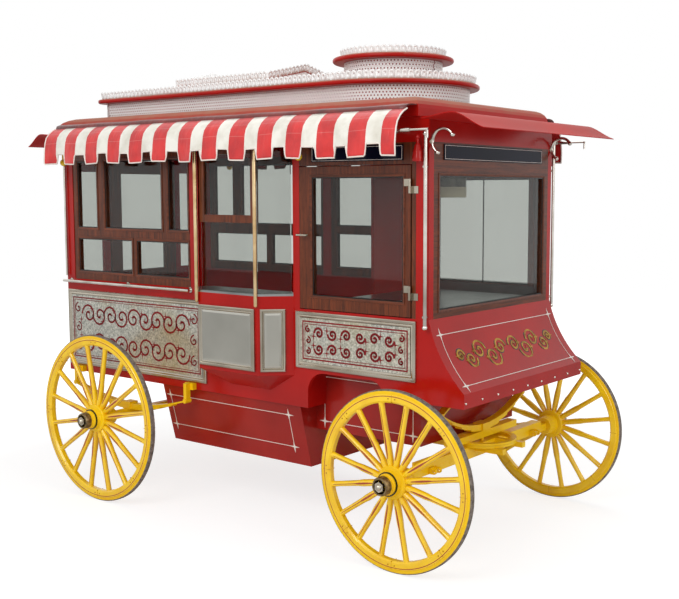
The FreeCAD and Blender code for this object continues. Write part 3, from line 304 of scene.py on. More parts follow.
def stripedWheelPaint(name, centre, look):
    # yellow enamel with hand-painted lining: one ring round the felloes and a flame up each spoke
    material, tree, place = newMaterial(name)
    local = addNode(tree, "Mapping", {"Vector": place, "Location": [-c for c in centre]})
    axes = addNode(tree, "SeparateXYZ", {"Vector": local})
    flat = addNode(tree, "CombineXYZ", {"X": axes.outputs["X"], "Y": axes.outputs["Z"]})
    reach = addNode(tree, "VectorMath", {0: flat}, operation="LENGTH").outputs["Value"]
    angle = addNode(tree, "Math", {0: axes.outputs["X"], 1: axes.outputs["Z"]}, operation="ARCTAN2")
    turns = addNode(tree, "Math", {0: angle, 1: look["spokes"] / (2 * math.pi)}, operation="MULTIPLY")
    part = addNode(tree, "Math", {0: turns}, operation="FRACT")
    offset = addNode(tree, "Math", {0: part, 1: 0.5}, operation="SUBTRACT")
    radians = addNode(tree, "Math", {0: offset, 1: 2 * math.pi / look["spokes"]}, operation="MULTIPLY")
    across = addNode(tree, "Math", {0: radians, 1: reach}, operation="MULTIPLY")
    lateral = addNode(tree, "Math", {0: across}, operation="ABSOLUTE")
    # half the flame's width at each distance from the hub
    width = addNode(tree, "FloatCurve", {"Value": addNode(tree, "MapRange", {
        "Value": reach, "From Min": look["flameFrom"], "From Max": look["flameTo"]})})
    points = width.mapping.curves[0].points
    points[0].location = (0.0, 0.0)
    points[1].location = (1.0, 0.0)
    for x, y in ((0.1, 0.75), (0.3, 1.0), (0.5, 0.42), (0.94, 0.3)):
        points.new(x, y)
    width.mapping.update()
    half = addNode(tree, "Math", {0: width, 1: look["flameHalf"]}, operation="MULTIPLY")
    flame = addNode(tree, "Math", {0: lateral, 1: half}, operation="LESS_THAN")
    outside = addNode(tree, "Math", {0: axes.outputs["Y"], 1: look["side"]}, operation="MULTIPLY")
    front = addNode(tree, "Math", {0: outside, 1: 0.004}, operation="GREATER_THAN")
    spokeMask = addNode(tree, "Math", {0: flame, 1: front}, operation="MULTIPLY")
    mask = spokeMask
    for middle, thick in look["rings"]:
        gap = addNode(tree, "Math", {0: reach, 1: middle}, operation="SUBTRACT")
        size = addNode(tree, "Math", {0: gap}, operation="ABSOLUTE")
        ring = addNode(tree, "Math", {0: size, 1: thick / 2}, operation="LESS_THAN")
        shown = addNode(tree, "Math", {0: ring, 1: front}, operation="MULTIPLY")
        mask = addNode(tree, "Math", {0: mask, 1: shown}, operation="MAXIMUM")
    cloud = addNode(tree, "TexNoise", {"Vector": place, "Scale": 1000 / 120, "Detail": 5.0})
    paint = addNode(tree, "ValToRGB", {"Fac": cloud},
                    stops=((0.3, yellowLook["deep"]), (0.6, yellowLook["colour"])))
    colour = addNode(tree, "Mix", {0: mask, 6: paint, 7: linearColour(look["lining"])}, data_type="RGBA")
    ripple = addNode(tree, "TexNoise", {"Vector": place, "Scale": 1000 / 14})
    bump = addNode(tree, "Bump", {"Height": ripple, "Strength": 0.12, "Distance": 0.0006})
    shader = addNode(tree, "BsdfPrincipled", {"Base Color": colour.outputs[2], "Roughness": 0.3,
                                              "Normal": bump,
                                              "Coat Weight": 0.35, "Coat Roughness": 0.08})
    closeMaterial(tree, shader)
    return material


def stripedCloth(name, look):
    # vinyl-coated awning canvas: red and off-white bars, a coarse weave and long soft creases
    material, tree, place = newMaterial(name)
    cloth = addNode(tree, "UVMap", uv_map="cloth")
    axes = addNode(tree, "SeparateXYZ", {"Vector": cloth.outputs["UV"]})
    part = addNode(tree, "Math", {0: axes.outputs["X"]}, operation="FRACT")
    fromMiddle = addNode(tree, "Math", {0: part, 1: 0.5}, operation="SUBTRACT")
    size = addNode(tree, "Math", {0: fromMiddle}, operation="ABSOLUTE")
    bar = addNode(tree, "Math", {0: size, 1: look["redShare"] / 2}, operation="LESS_THAN")
    soil = addNode(tree, "TexNoise", {"Vector": place, "Scale": 1000 / 90, "Detail": 6.0})
    red = addNode(tree, "ValToRGB", {"Fac": soil}, stops=((0.3, look["red"][0]), (0.65, look["red"][1])))
    pale = addNode(tree, "ValToRGB", {"Fac": soil}, stops=((0.3, "#D9D4C6"), (0.6, "#F1EEE4")))
    bars = addNode(tree, "Mix", {0: bar, 6: pale, 7: red}, data_type="RGBA")
    colour = bars.outputs[2]
    for height in look["seams"]:  # rows of stitching, drawn 3 mm wide so that they show
        gap = addNode(tree, "Math", {0: axes.outputs["Y"], 1: height}, operation="SUBTRACT")
        near = addNode(tree, "Math", {0: gap}, operation="ABSOLUTE")
        row = addNode(tree, "Math", {0: near, 1: 0.0015}, operation="LESS_THAN")
        soft = addNode(tree, "Math", {0: row, 1: 0.15}, operation="MULTIPLY")
        seam = addNode(tree, "Mix", {0: soft, 6: colour, 7: linearColour("#E8D9D2")}, data_type="RGBA")
        colour = seam.outputs[2]
    crease = addNode(tree, "Mapping", {"Vector": place, "Scale": (26, 8, 8)})
    folds = addNode(tree, "TexNoise", {"Vector": crease, "Scale": 1.0, "Detail": 3.0})
    big = addNode(tree, "Bump", {"Height": folds, "Strength": 0.55, "Distance": 0.012})
    weave = addNode(tree, "TexNoise", {"Vector": place, "Scale": 1000 / 3})
    bump = addNode(tree, "Bump", {"Height": weave, "Strength": 0.15, "Distance": 0.0005, "Normal": big})
    shader = addNode(tree, "BsdfPrincipled", {"Base Color": colour, "Roughness": 0.42,
                                              "Normal": bump, "Sheen Weight": 0.1,
                                              "Coat Weight": 0.25, "Coat Roughness": 0.3})
    closeMaterial(tree, shader)
    return material


glass = windowGlass()
leafMirror = stippledMirror()
rubber = wornRubber()
print("finishes made")


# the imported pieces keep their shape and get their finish

finishes = {
    redEnamel: ["floor_boards", "side_walls", "front_apron", "cabin_frame", "rear_panels", "serving_bay",
                "bay_head", "corner_lamps"],
    # painted shade: these parts take the darker red copy for the shade they sit in
    paintedShadeRed: ["tank_box", "wheel_well_box", "partition", "gallery_bands"],
    dustyRed: ["roof", "gallery_flanges"],
    hoodRed: ["end_hoods"],
    mahoganyUp: ["rear_door", "popcorn_door", "side_window_frames", "bay_sash"],
    mahoganyAcross: ["front_window_frame"],
    glass: ["cabin_glass", "bay_glass", "popcorn_door_glass", "rear_door_glass"],
    nickel: ["sign_mouldings", "hinge_jambs", "popcorn_door_fittings"],
    brightNickel: ["handrails", "corner_poles", "hood_brackets", "awning_bars"],
    stainless: ["bay_counter", "case_tray"],
    smokedSteel: ["popper_kettle"],
    brass: ["bay_posts"],
    leafMirror: ["sign_mirrors"],
    navySign: ["transom_signs"],
    whiteEnamel: ["gallery_crests", "skylight"],
    globeYellow: ["awning_bulbs"],
    maple: ["case_shelf"],
    # painted shade: the dark maroon on awning_covers stands for the shade under the roof edge; awning_covers
    # and awnings are both hidden later
    maroon: ["awning_covers", "awnings"],
    yellowEnamel: ["rear_axle", "rear_springs", "front_spring", "fifth_wheel_head", "front_axle", "axle_bed",
                   "fifth_wheel_plate", "shaft_couplings", "wheel_front_near", "wheel_front_far",
                   "wheel_rear_near", "wheel_rear_far"],
    rubber: ["tyre_front_near", "tyre_front_far", "tyre_rear_near", "tyre_rear_far"],
}
for material, nodes in finishes.items():
    for node in nodes:
        slots = bpy.data.objects[node].data.materials
        slots.clear()
        slots.append(material)
print("packed pieces finished")


# camera and light

view = dict(place=(4.312, -4.806, 1.870), turn=37.211, dip=5.748, lens=54.98, shift=(-0.0589, -0.0052))


def makeCamera():
    data = bpy.data.cameras.new("camera")
    data.lens = view["lens"]
    data.sensor_width = 36.0
    data.sensor_fit = "HORIZONTAL"
    data.shift_x, data.shift_y = view["shift"]
    camera = bpy.data.objects.new("camera", data)
    bpy.context.scene.collection.objects.link(camera)
    x, y, z = view["place"]
    camera.location = (x + midX, y, z)
    camera.rotation_euler = (math.radians(90 - view["dip"]), 0, math.radians(view["turn"]))
    bpy.context.scene.camera = camera


lamps = [
    dict(name="keySoftbox", place=(1.2, -6.0, 4.6), aim=(0.2, 0.0, 1.0), size=3.4, power=190),
    dict(name="frontSoftbox", place=(6.4, -1.2, 3.4), aim=(0.8, 0.0, 1.1), size=3.0, power=70),
    dict(name="topSoftbox", place=(0.0, 1.0, 6.2), aim=(0.0, 0.0, 1.0), size=4.5, power=100),
]
backdrop = dict(white="#FFFFFF", fill=0.45, floor="#F4F4F3", shadeReach=(2.3, 4.2), shade=0.42)


def makeLight():
    for lamp in lamps:
        data = bpy.data.lights.new(lamp["name"], "AREA")
        data.shape = "SQUARE"
        data.size = lamp["size"]
        data.energy = lamp["power"]
        light = bpy.data.objects.new(lamp["name"], data)
        bpy.context.scene.collection.objects.link(light)
        light.location = lamp["place"]
        way = Vector(lamp["aim"]) - Vector(lamp["place"])
        light.rotation_euler = way.to_track_quat("-Z", "Y").to_euler()
    world = bpy.data.worlds.new("studio")
    world.use_nodes = True
    tree = world.node_tree
    tree.nodes.clear()
    path = addNode(tree, "LightPath")
    seen = addNode(tree, "Math", {0: path.outputs["Is Camera Ray"], 1: path.outputs["Is Glossy Ray"]},
                   operation="MAXIMUM")
    shown = addNode(tree, "Math", {0: seen, 1: path.outputs["Is Transmission Ray"]}, operation="MAXIMUM")
    level = addNode(tree, "MapRange", {"Value": shown, "To Min": backdrop["fill"], "To Max": 1.0})
    sky = addNode(tree, "Background", {"Color": linearColour(backdrop["white"]), "Strength": level})
    addNode(tree, "OutputWorld", {"Surface": sky})
    bpy.context.scene.world = world


def makeFloor():
    bm = bmesh.new()
    bmesh.ops.create_grid(bm, x_segments=1, y_segments=1, size=14)
    mesh = bpy.data.meshes.new("studioFloor")
    bm.to_mesh(mesh)
    bm.free()
    floor = bpy.data.objects.new("studioFloor", mesh)
    bpy.context.scene.collection.objects.link(floor)
    material, tree, place = newMaterial("paperSweep")
    grain = addNode(tree, "TexNoise", {"Vector": place, "Scale": 1000 / 400})
    tone = addNode(tree, "ValToRGB", {"Fac": grain}, stops=((0.0, "#F2F2F1"), (1.0, backdrop["floor"])))
    paper = addNode(tree, "BsdfDiffuse", {"Color": tone})
    bright = addNode(tree, "Emission", {"Color": linearColour("#FFFFFF"), "Strength": 1.3})
    path = addNode(tree, "LightPath")
    # the paper takes the shadow near the wagon and fades into the bright backdrop further out
    reach = addNode(tree, "VectorMath", {0: place}, operation="LENGTH")
    fade = addNode(tree, "MapRange", {"Value": reach.outputs["Value"], "From Min": backdrop["shadeReach"][0],
                                      "From Max": backdrop["shadeReach"][1],
                                      "To Min": 1 - backdrop["shade"], "To Max": 1.0})
    seen = addNode(tree, "Math", {0: fade, 1: path.outputs["Is Camera Ray"]}, operation="MULTIPLY")
    both = addNode(tree, "MixShader", {0: seen, 1: paper, 2: bright})
    closeMaterial(tree, both)
    mesh.materials.append(material)


makeCamera()
makeLight()
makeFloor()
bpy.context.scene.view_settings.view_transform = "Standard"
print("camera, light and floor made")

# striped awnings: one hung sheet on each side, with tabs along the valance

awning = dict(xFrom=-1.350, xTo=1.392, firstBar=-1.294, pitch=0.2043, redShare=0.53, columns=384,
              thick=0.0016, piping=0.0042,
              section=[(0.7435, 2.2655), (0.772, 2.252), (0.799, 2.231), (0.820, 2.204), (0.830, 2.172),
                       (0.835, 2.136), (0.838, 2.100)],
              tabDrop=0.058, tabHalf=0.262, shoulder=0.05, arms=(-1.25, -0.30, 0.64, 1.30))
canvas = stripedCloth("awningCanvas", dict(redShare=awning["redShare"], seams=(0.072, 0.138),
                                           red=("#B81A1E", "#D92826")))


def tabDepth(x):
    phase = (x - awning["firstBar"]) / awning["pitch"]
    off = abs(phase - round(phase))
    share = min(max((awning["tabHalf"] + awning["shoulder"] - off) / awning["shoulder"], 0.0), 1.0)
    return awning["tabDrop"] * share * share * (3 - 2 * share)


def awningPoint(x, rows, row, side):
    section = awning["section"]
    last = len(section) - 1
    sway = 0.004 * math.sin(x * 11.0) + 0.003 * math.sin(x * 23.0 + 1.3)
    slack = 0.007 * math.sin(math.pi * min(abs(x - arm) for arm in awning["arms"]) / 0.5) ** 2
    if row <= last:
        y, z = section[row]
        hang = row / last
    else:
        y, z = section[last]
        down = (row - last) / (rows - last)
        z -= tabDepth(x) * down
        y += 0.006 * down * math.sin(x * 17.0 + 0.5)
        hang = 1 + down * 0.5
    y += sway * hang
    z -= slack * math.sin(math.pi * min(hang, 1.0) / 2)
    return Vector((midX + x, side * y, z))


def clothGrid(columns, rows, section):
    # a flat grid to be bent, the column and row of each vertex, and the lengths down the section
    bm = bmesh.new()
    bmesh.ops.create_grid(bm, x_segments=columns, y_segments=rows, size=1.0)
    cloth = bm.loops.layers.uv.new("cloth")
    steps = {v: (round((v.co.x + 1) / 2 * columns), round((1 - v.co.y) / 2 * rows)) for v in bm.verts}
    lengths = [0.0]
    for (ya, za), (yb, zb) in zip(section, section[1:]):
        lengths.append(lengths[-1] + math.hypot(yb - ya, zb - za))
    return bm, cloth, steps, lengths


def thicken(piece, thickness, offset=-1.0):
    sheet = piece.modifiers.new("thickness", "SOLIDIFY")
    sheet.thickness = thickness
    sheet.offset = offset


def makeAwning(side, name):
    rows, columns = len(awning["section"]) + 3, awning["columns"]
    bm, cloth, steps, lengths = clothGrid(columns, rows, awning["section"])
    hem = []
    for v, (column, row) in steps.items():
        x = awning["xFrom"] + (awning["xTo"] - awning["xFrom"]) * column / columns
        v.co = awningPoint(x, rows, row, side)
        if row == rows:
            hem.append((column, v.co.copy()))
    last = len(lengths) - 1
    for face in bm.faces:
        for loop in face.loops:
            column, row = steps[loop.vert]
            x = awning["xFrom"] + (awning["xTo"] - awning["xFrom"]) * column / columns
            down = lengths[row] if row <= last else lengths[last] + tabDepth(x) * (row - last) / (rows - last)
            loop[cloth].uv = ((x - awning["firstBar"]) / awning["pitch"] + 0.5, down)
    area = sum(face.calc_area() for face in bm.faces)
    sheet = placePiece(name, bm, canvas, wagonBody, sharp=60)
    thicken(sheet, awning["thick"])
    # cream piping bound over the cut edge
    line = [co for _, co in sorted(hem, key=lambda item: item[0])]
    first = [awningPoint(awning["xFrom"], rows, row, side) for row in range(rows)]
    end = [awningPoint(awning["xTo"], rows, row, side) for row in range(rows)][::-1]
    route = first + line + end
    data = bpy.data.curves.new(name + "Piping", "CURVE")
    data.dimensions = "3D"
    data.bevel_depth = awning["piping"]
    data.bevel_resolution = 1
    spline = data.splines.new("POLY")
    spline.points.add(len(route) - 1)
    for point, co in zip(spline.points, route):
        point.co = (*co, 1.0)
    piping = bpy.data.objects.new(name + "Piping", data)
    bpy.context.scene.collection.objects.link(piping)
    data.materials.append(pinstripe)
    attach(piping, wagonBody)
    return sheet


awningPair = [makeAwning(-1, "awningNear"), makeAwning(1, "awningFar")]
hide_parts("awnings")

coverStrip = dict(section=[(0.6545, 2.2895), (0.690, 2.2905), (0.722, 2.288), (0.7425, 2.281),
                           (0.7470, 2.272), (0.7475, 2.252)], columns=60, thick=0.002, inset=0.004)
# painted shade: the cover strip is one dark red that stands for the shade on the fascia under the roof edge
coverCanvas = stripedCloth("shadedCoverCanvas", dict(redShare=2.0, seams=(0.012, 0.11),
                                                 red=("#4E1210", "#7A2019")))  # one plain colour


def makeCoverStrip(side, name):
    rows, columns = len(coverStrip["section"]) - 1, coverStrip["columns"]
    bm, cloth, steps, lengths = clothGrid(columns, rows, coverStrip["section"])
    start = awning["xFrom"] + coverStrip["inset"]
    width = awning["xTo"] - awning["xFrom"] - 2 * coverStrip["inset"]
    for v, (column, row) in steps.items():
        x = start + width * column / columns
        y, z = coverStrip["section"][row]
        v.co = (midX + x, side * (y + 0.0015 * math.sin(x * 9)), z + 0.0015 * math.sin(x * 14 + row))
    for face in bm.faces:
        for loop in face.loops:
            column, row = steps[loop.vert]
            loop[cloth].uv = (column / 20, lengths[row])
    area = sum(face.calc_area() for face in bm.faces)
    strip = placePiece(name, bm, coverCanvas, wagonBody, sharp=60)
    thicken(strip, coverStrip["thick"])
    return strip


coverPair = [makeCoverStrip(-1, "coverStripNear"), makeCoverStrip(1, "coverStripFar")]
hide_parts("awning_covers")
print("awnings hung")


# roof galleries: perforated bands and pierced scalloped crests, bent round each tier

gallery = dict(tierX=0.760, longRearX=-1.310, longFlange=0.490, rearCorner=0.090)
perforation = dict(pitch=0.0185, rows=6, hole=0.0045, outset=0.0045, thick=0.0016)
lobe = dict(width=0.034, height=0.047, radius=0.0172, hole=0.0042, lean=math.radians(12), thick=0.0022)
skylight = dict(rear=-0.680, front=0.100, half=0.330, eave=2.520, rise=0.075)


def longPath(radius, z):
    shrink = gallery["longFlange"] - radius
    rear = gallery["longRearX"] + shrink
    corner = max(gallery["rearCorner"] - shrink, 0.020)
    tier = gallery["tierX"]
    points = [(rear + corner, -radius), (tier, -radius)]
    for i in range(1, 61):
        turn = -math.pi / 2 + math.pi * i / 60
        points.append((tier + radius * math.cos(turn), radius * math.sin(turn)))
    points.append((rear + corner, radius))
    for start, cy in ((90, radius - corner), (180, corner - radius)):
        for i in range(1, 9):
            turn = math.radians(start + 90 * i / 8)
            points.append((rear + corner + corner * math.cos(turn), cy + corner * math.sin(turn)))
    return [Vector((midX + x, y, z)) for x, y in points]


def roundPath(radius, z):
    return [Vector((midX + gallery["tierX"] + radius * math.cos(math.pi * 2 * i / 96),
                    radius * math.sin(math.pi * 2 * i / 96), z)) for i in range(96)]


def skylightPath(z):
    rear, front, half, rise = (skylight[name] for name in ("rear", "front", "half", "rise"))
    points = [(rear, -half, 0), (front, -half, 0), (front, 0, rise), (front, half, 0),
              (rear, half, 0), (rear, 0, rise)]
    return [Vector((midX + x, y, z + up)) for x, y, up in points]


def bendAlong(bm, path, leaning=0.0, outset=0.0):
    # each vertex holds the distance along the path in x and its height in y
    loop = path + [path[0]]
    marks = [0.0]
    for a, b in zip(loop, loop[1:]):
        marks.append(marks[-1] + (b - a).length)
    width = max(v.co.x for v in bm.verts)
    order = sorted(bm.verts, key=lambda v: v.co.x)
    step = 0
    for v in order:
        along = v.co.x / width * marks[-1]
        while step < len(marks) - 2 and along > marks[step + 1] + 1e-9:
            step += 1
        a, b = loop[step], loop[step + 1]
        share = (along - marks[step]) / max(marks[step + 1] - marks[step], 1e-9)
        way = (b - a).normalized()
        out = Vector((way.y, -way.x, 0)).normalized()
        height, thick = v.co.y, v.co.z
        v.co = a.lerp(b, share) + Vector((0, 0, height * math.cos(leaning)))
        v.co += out * (outset + height * math.sin(leaning) + thick)


def pathLength(path):
    return sum((b - a).length for a, b in zip(path, path[1:] + path[:1]))


def arrayed(bm, step, count, rise=0.0, rows=1):
    mesh = bpy.data.meshes.new("tile")
    bm.to_mesh(mesh)
    bm.free()
    tile = bpy.data.objects.new("tile", mesh)
    bpy.context.scene.collection.objects.link(tile)
    for distance, number in (((step, 0, 0), count), ((0, rise, 0), rows)):
        row = tile.modifiers.new("row", "ARRAY")
        row.count = number
        row.use_relative_offset = False
        row.use_constant_offset = True
        row.constant_offset_displace = distance
    bpy.context.view_layer.update()
    made = bpy.data.meshes.new_from_object(tile.evaluated_get(bpy.context.evaluated_depsgraph_get()))
    result = bmesh.new()
    result.from_mesh(made)
    bpy.data.objects.remove(tile)
    bpy.data.meshes.remove(mesh)
    bpy.data.meshes.remove(made)
    return result


def makeBand(name, path, height):
    rows, hole = perforation["rows"], perforation["hole"]
    rise = height / rows
    count = round(pathLength(path) / perforation["pitch"])
    step = pathLength(path) / count
    bm = bmesh.new()
    for row in (0, 1):
        before = set(bm.verts)
        bmesh.ops.create_grid(bm, x_segments=2, y_segments=2, size=0.5)
        faces = [f for f in bm.faces if not before.intersection(f.verts)]
        bmesh.ops.inset_region(bm, faces=faces, thickness=0.2, use_even_offset=True, use_boundary=True)
        cell = [v for v in bm.verts if v not in before]
        bmesh.ops.scale(bm, vec=(step, rise, 1), verts=cell)
        for v in {v for f in faces for v in f.verts}:
            if v.co.length > 0.0005:
                v.co = v.co.normalized() * hole
        bmesh.ops.translate(bm, vec=(step / 2 + row * step / 2, rise / 2 + row * rise, 0), verts=cell)
        bmesh.ops.delete(bm, geom=faces, context="FACES")
    strip = arrayed(bm, step, count, rise * 2, rows // 2)
    bendAlong(strip, path, outset=perforation["outset"])
    strip.normal_update()
    band = placePiece(name, strip, whiteEnamel, wagonBody)
    thicken(band, perforation["thick"])


def makeCrest(name, path, replaced=()):
    count = round(pathLength(path) / lobe["width"])
    step = pathLength(path) / count
    bm = bmesh.new()
    bmesh.ops.create_circle(bm, cap_ends=True, segments=14, radius=lobe["radius"])
    face = list(bm.faces)[0]
    bmesh.ops.inset_individual(bm, faces=[face], thickness=lobe["radius"] * 0.4)
    inner = set(face.verts)
    for v in inner:
        v.co = v.co.normalized() * lobe["hole"]
    bmesh.ops.delete(bm, geom=[face], context="FACES_ONLY")
    centre = lobe["height"] - lobe["radius"]
    for v in bm.verts:
        low = v not in inner and v.co.y < -0.002
        side = v.co.x / lobe["radius"]
        v.co.x = step / 2 + (max(-1, min(1, side * 1.6)) * step / 2 if low else v.co.x)
        v.co.y = 0.0 if low else v.co.y + centre
    crest = arrayed(bm, step, count)
    bendAlong(crest, path, leaning=lobe["lean"])
    crest.normal_update()
    made = placePiece(name, crest, whiteEnamel, wagonBody, replaced)
    thicken(made, lobe["thick"], 0.0)


makeBand("longPerforatedBand", longPath(0.430, 2.335), 0.1005)
makeBand("roundPerforatedBand", roundPath(0.275, 2.462), 0.1255)
makeCrest("longCrest", longPath(0.462, 2.4615), ("gallery_crests",))
makeCrest("roundCrest", roundPath(0.292, 2.6135))
makeCrest("skylightCrest", skylightPath(2.5195))
print("galleries made")


# wheels: felloes, sixteen spokes and a turned hub

wheelLook = dict(tyre=0.022, felloeDepth=0.042, felloeWidth=0.044, spokes=16, joints=8, lining="#A63F18",
                 flameFrom=0.115, flameHalf=0.0050, ringIn=0.009, ringWide=0.0042, lineWide=0.0035,
                 boltOut=0.020, boltRadius=0.0040)
# spoke sections as distance from the hub's centre, half width and half depth
spokeRoot = [(0.078, 0.0130, 0.0200), (0.108, 0.0165, 0.0200), (0.150, 0.0175, 0.0195),
             (0.195, 0.0178, 0.0185), (0.225, 0.0150, 0.0170)]
# the same near the rim, with distances from the felloe's inner face
spokeTip = [(-0.050, 0.0135, 0.0160), (-0.012, 0.0145, 0.0165), (0.004, 0.0155, 0.0165)]
wheels = {
    "front_near": dict(x=1.370, y=0.815, radius=0.457, side=-1),
    "front_far": dict(x=1.370, y=0.815, radius=0.457, side=1),
    "rear_near": dict(x=-0.783, y=0.916, radius=0.506, side=-1),
    "rear_far": dict(x=-0.783, y=0.916, radius=0.506, side=1),
}
# turned outlines as radius and distance outwards from the wheel's middle plane
hubProfile = [(0.0202, -0.105), (0.048, -0.105), (0.051, -0.101), (0.056, -0.064), (0.060, -0.034),
              (0.080, -0.031), (0.084, -0.026), (0.084, 0.022), (0.080, 0.027), (0.066, 0.029),
              (0.064, 0.034), (0.0605, 0.050), (0.0555, 0.052), (0.053, 0.066), (0.049, 0.068),
              (0.048, 0.082)]
bandProfile = [(0.048, 0.082), (0.0485, 0.084), (0.0465, 0.112), (0.044, 0.118), (0.036, 0.118),
               (0.036, 0.080)]
hubLines = [("hubBlackLines_", blackEnamel, ((0.0665, 0.0545), (0.0845, 0.0225))),
            ("hubRedLines_", redEnamel, ((0.0532, 0.0705), (0.0625, 0.0405)))]
nut = dict(radius=0.030, tipRadius=0.027, depth=0.016, out=0.116, domeOut=0.122, domeRadius=0.016)


def spinProfile(bm, profile):
    points = [bm.verts.new((r, -h, 0)) for r, h in profile]
    edges = [bm.edges.new(pair) for pair in zip(points, points[1:] + points[:1])]
    bmesh.ops.spin(bm, geom=points + edges, cent=(0, 0, 0), axis=(0, 1, 0), angle=2 * math.pi, steps=64,
                   use_merge=True, use_duplicate=False)


def placeWheel(bm, wheel):
    if wheel["side"] > 0:
        bmesh.ops.scale(bm, vec=(1, -1, 1), verts=bm.verts)
    bmesh.ops.translate(bm, vec=(midX + wheel["x"], wheel["side"] * wheel["y"], wheel["radius"]),
                        verts=bm.verts)


def turnedPiece(name, profiles, wheel, material, body, replaced=()):
    bm = bmesh.new()
    for profile in profiles:
        spinProfile(bm, profile)
    placeWheel(bm, wheel)
    makePiece(name, bm, material, body, replaced)


def makeRim(corner, wheel, body, paint, rimIn, rimOut):
    half = wheelLook["felloeWidth"] / 2
    turnedPiece("felloes_" + corner, [[(rimIn, 0.009 - half), (rimIn + 0.009, -half), (rimOut - 0.003, -half),
                                       (rimOut, 0.003 - half), (rimOut, half - 0.003), (rimOut - 0.003, half),
                                       (rimIn + 0.009, half), (rimIn, half - 0.009)]],
                wheel, paint, body, ("wheel_" + corner,))
    # the tyre sits in a channel, whose painted flanges hide all of it but the tread
    tyreLow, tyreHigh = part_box("tyre_" + corner)
    flange = (tyreHigh.y - tyreLow.y) / 2
    edge = wheel["radius"]
    inside, outside = flange - 0.002, flange + 0.0012
    turnedPiece("tyreChannel_" + corner,
                [[(rimOut - 0.003, way * inside), (edge - 0.007, way * inside), (edge - 0.006, way * flange),
                  (edge - 0.008, way * outside), (rimOut - 0.003, way * outside)] for way in (-1, 1)],
                wheel, yellowEnamel, body)
    # felloe joints: a pair of countersunk bolts and a thin joint line at every second spoke
    marks = bmesh.new()
    for i in range(wheelLook["joints"]):
        start = set(marks.verts)
        addBar(marks, (-0.0006, -half - 0.0006, rimIn), (0.0006, half + 0.0006, rimOut - 0.001))
        for x in (-wheelLook["boltOut"], wheelLook["boltOut"]):
            addDome(marks, (x, -half, (rimIn + rimOut) / 2), wheelLook["boltRadius"], 4, 6)
        fresh = [v for v in marks.verts if v not in start]
        turn = Matrix.Rotation(2 * math.pi * i / wheelLook["joints"], 3, "Y")
        bmesh.ops.rotate(marks, cent=(0, 0, 0), matrix=turn, verts=fresh)
    placeWheel(marks, wheel)
    makePiece("felloeJoints_" + corner, marks, darkYellow, body)


def makeSpokes(corner, wheel, body, paint, rimIn):
    stations = spokeRoot + [(rimIn + z, width, depth) for z, width, depth in spokeTip]
    bm = bmesh.new()
    for i in range(wheelLook["spokes"]):
        start = set(bm.verts)
        base = bmesh.ops.create_circle(bm, cap_ends=True, segments=10, radius=1.0)["verts"]
        bmesh.ops.scale(bm, vec=(stations[0][1], stations[0][2], 1), verts=base)
        bmesh.ops.translate(bm, vec=(0, 0, stations[0][0]), verts=base)
        top = base[0].link_faces[0]
        for (za, wa, da), (zb, wb, db) in zip(stations, stations[1:]):
            top = bmesh.ops.extrude_discrete_faces(bm, faces=[top])["faces"][0]
            ring = list(top.verts)
            bmesh.ops.scale(bm, vec=(wb / wa, db / da, 1), verts=ring)
            bmesh.ops.translate(bm, vec=(0, 0, zb - za), verts=ring)
        fresh = [v for v in bm.verts if v not in start]
        turn = Matrix.Rotation(2 * math.pi * (i + 0.5) / wheelLook["spokes"], 3, "Y")
        bmesh.ops.rotate(bm, cent=(0, 0, 0), matrix=turn, verts=fresh)
    placeWheel(bm, wheel)
    makePiece("spokes_" + corner, bm, paint, body, sharp=50)


def makeHub(corner, wheel, body):
    turnedPiece("hub_" + corner, [hubProfile], wheel, yellowEnamel, body)
    turnedPiece("hubBand_" + corner, [bandProfile], wheel, darkBronze, body)
    width = wheelLook["lineWide"]
    for name, colour, rings in hubLines:
        turnedPiece(name + corner, [[(radius - 0.012, at - width), (radius - 0.006, at - width),
                                     (radius - 0.006, at + width), (radius - 0.012, at + width)]
                                    for radius, at in rings], wheel, colour, body)
    bm = bmesh.new()
    place = Matrix.Translation((0, -nut["out"], 0)) @ Matrix.Rotation(math.pi / 2, 4, "X")
    bmesh.ops.create_cone(bm, cap_ends=True, segments=6, radius1=nut["radius"], radius2=nut["tipRadius"],
                          depth=nut["depth"], matrix=place)
    addDome(bm, (0, -nut["domeOut"], 0), nut["domeRadius"], 8, 16)
    placeWheel(bm, wheel)
    makePiece("hubNut_" + corner, bm, nickel, body)


def makeWheel(corner, wheel):
    body = "wheel_body_" + corner
    rimOut = wheel["radius"] - wheelLook["tyre"]
    rimIn = rimOut - wheelLook["felloeDepth"]
    centre = (midX + wheel["x"], wheel["side"] * wheel["y"], wheel["radius"])
    look = dict(wheelLook, side=wheel["side"], flameTo=rimIn - 0.01,
                rings=((rimOut - wheelLook["ringIn"], wheelLook["ringWide"]),))
    paint = stripedWheelPaint("linedYellow_" + corner, centre, look)
    makeRim(corner, wheel, body, paint, rimIn, rimOut)
    makeSpokes(corner, wheel, body, paint, rimIn)
    makeHub(corner, wheel, body)


for corner, wheel in wheels.items():
    makeWheel(corner, wheel)
print("wheels made")

# mitred borders, lining and small ornament, laid on the flat faces of the body
nearFace = (Vector((1, 0, 0)), Vector((0, 0, 1)))
farFace = (Vector((-1, 0, 0)), Vector((0, 0, 1)))
frontFace = (Vector((0, 1, 0)), Vector((0, 0, 1)))


def addBorder(bm, centre, face, size, steps):
    # steps are moves inwards and outwards from the outer edge, which leave a mitred frame
    right, up = face
    corners = [bm.verts.new(Vector(centre) + right * size[0] / 2 * a + up * size[1] / 2 * b)
               for a, b in ((-1, -1), (1, -1), (1, 1), (-1, 1))]
    panel = bm.faces.new(corners)
    panel.normal_update()
    outer = list(panel.edges)
    for inwards, outwards in steps:
        bmesh.ops.inset_individual(bm, faces=[panel], thickness=inwards, depth=outwards, use_even_offset=True)
    inner = list(panel.edges)
    bmesh.ops.delete(bm, geom=[panel], context="FACES_ONLY")
    bmesh.ops.bridge_loops(bm, edges=outer + inner)


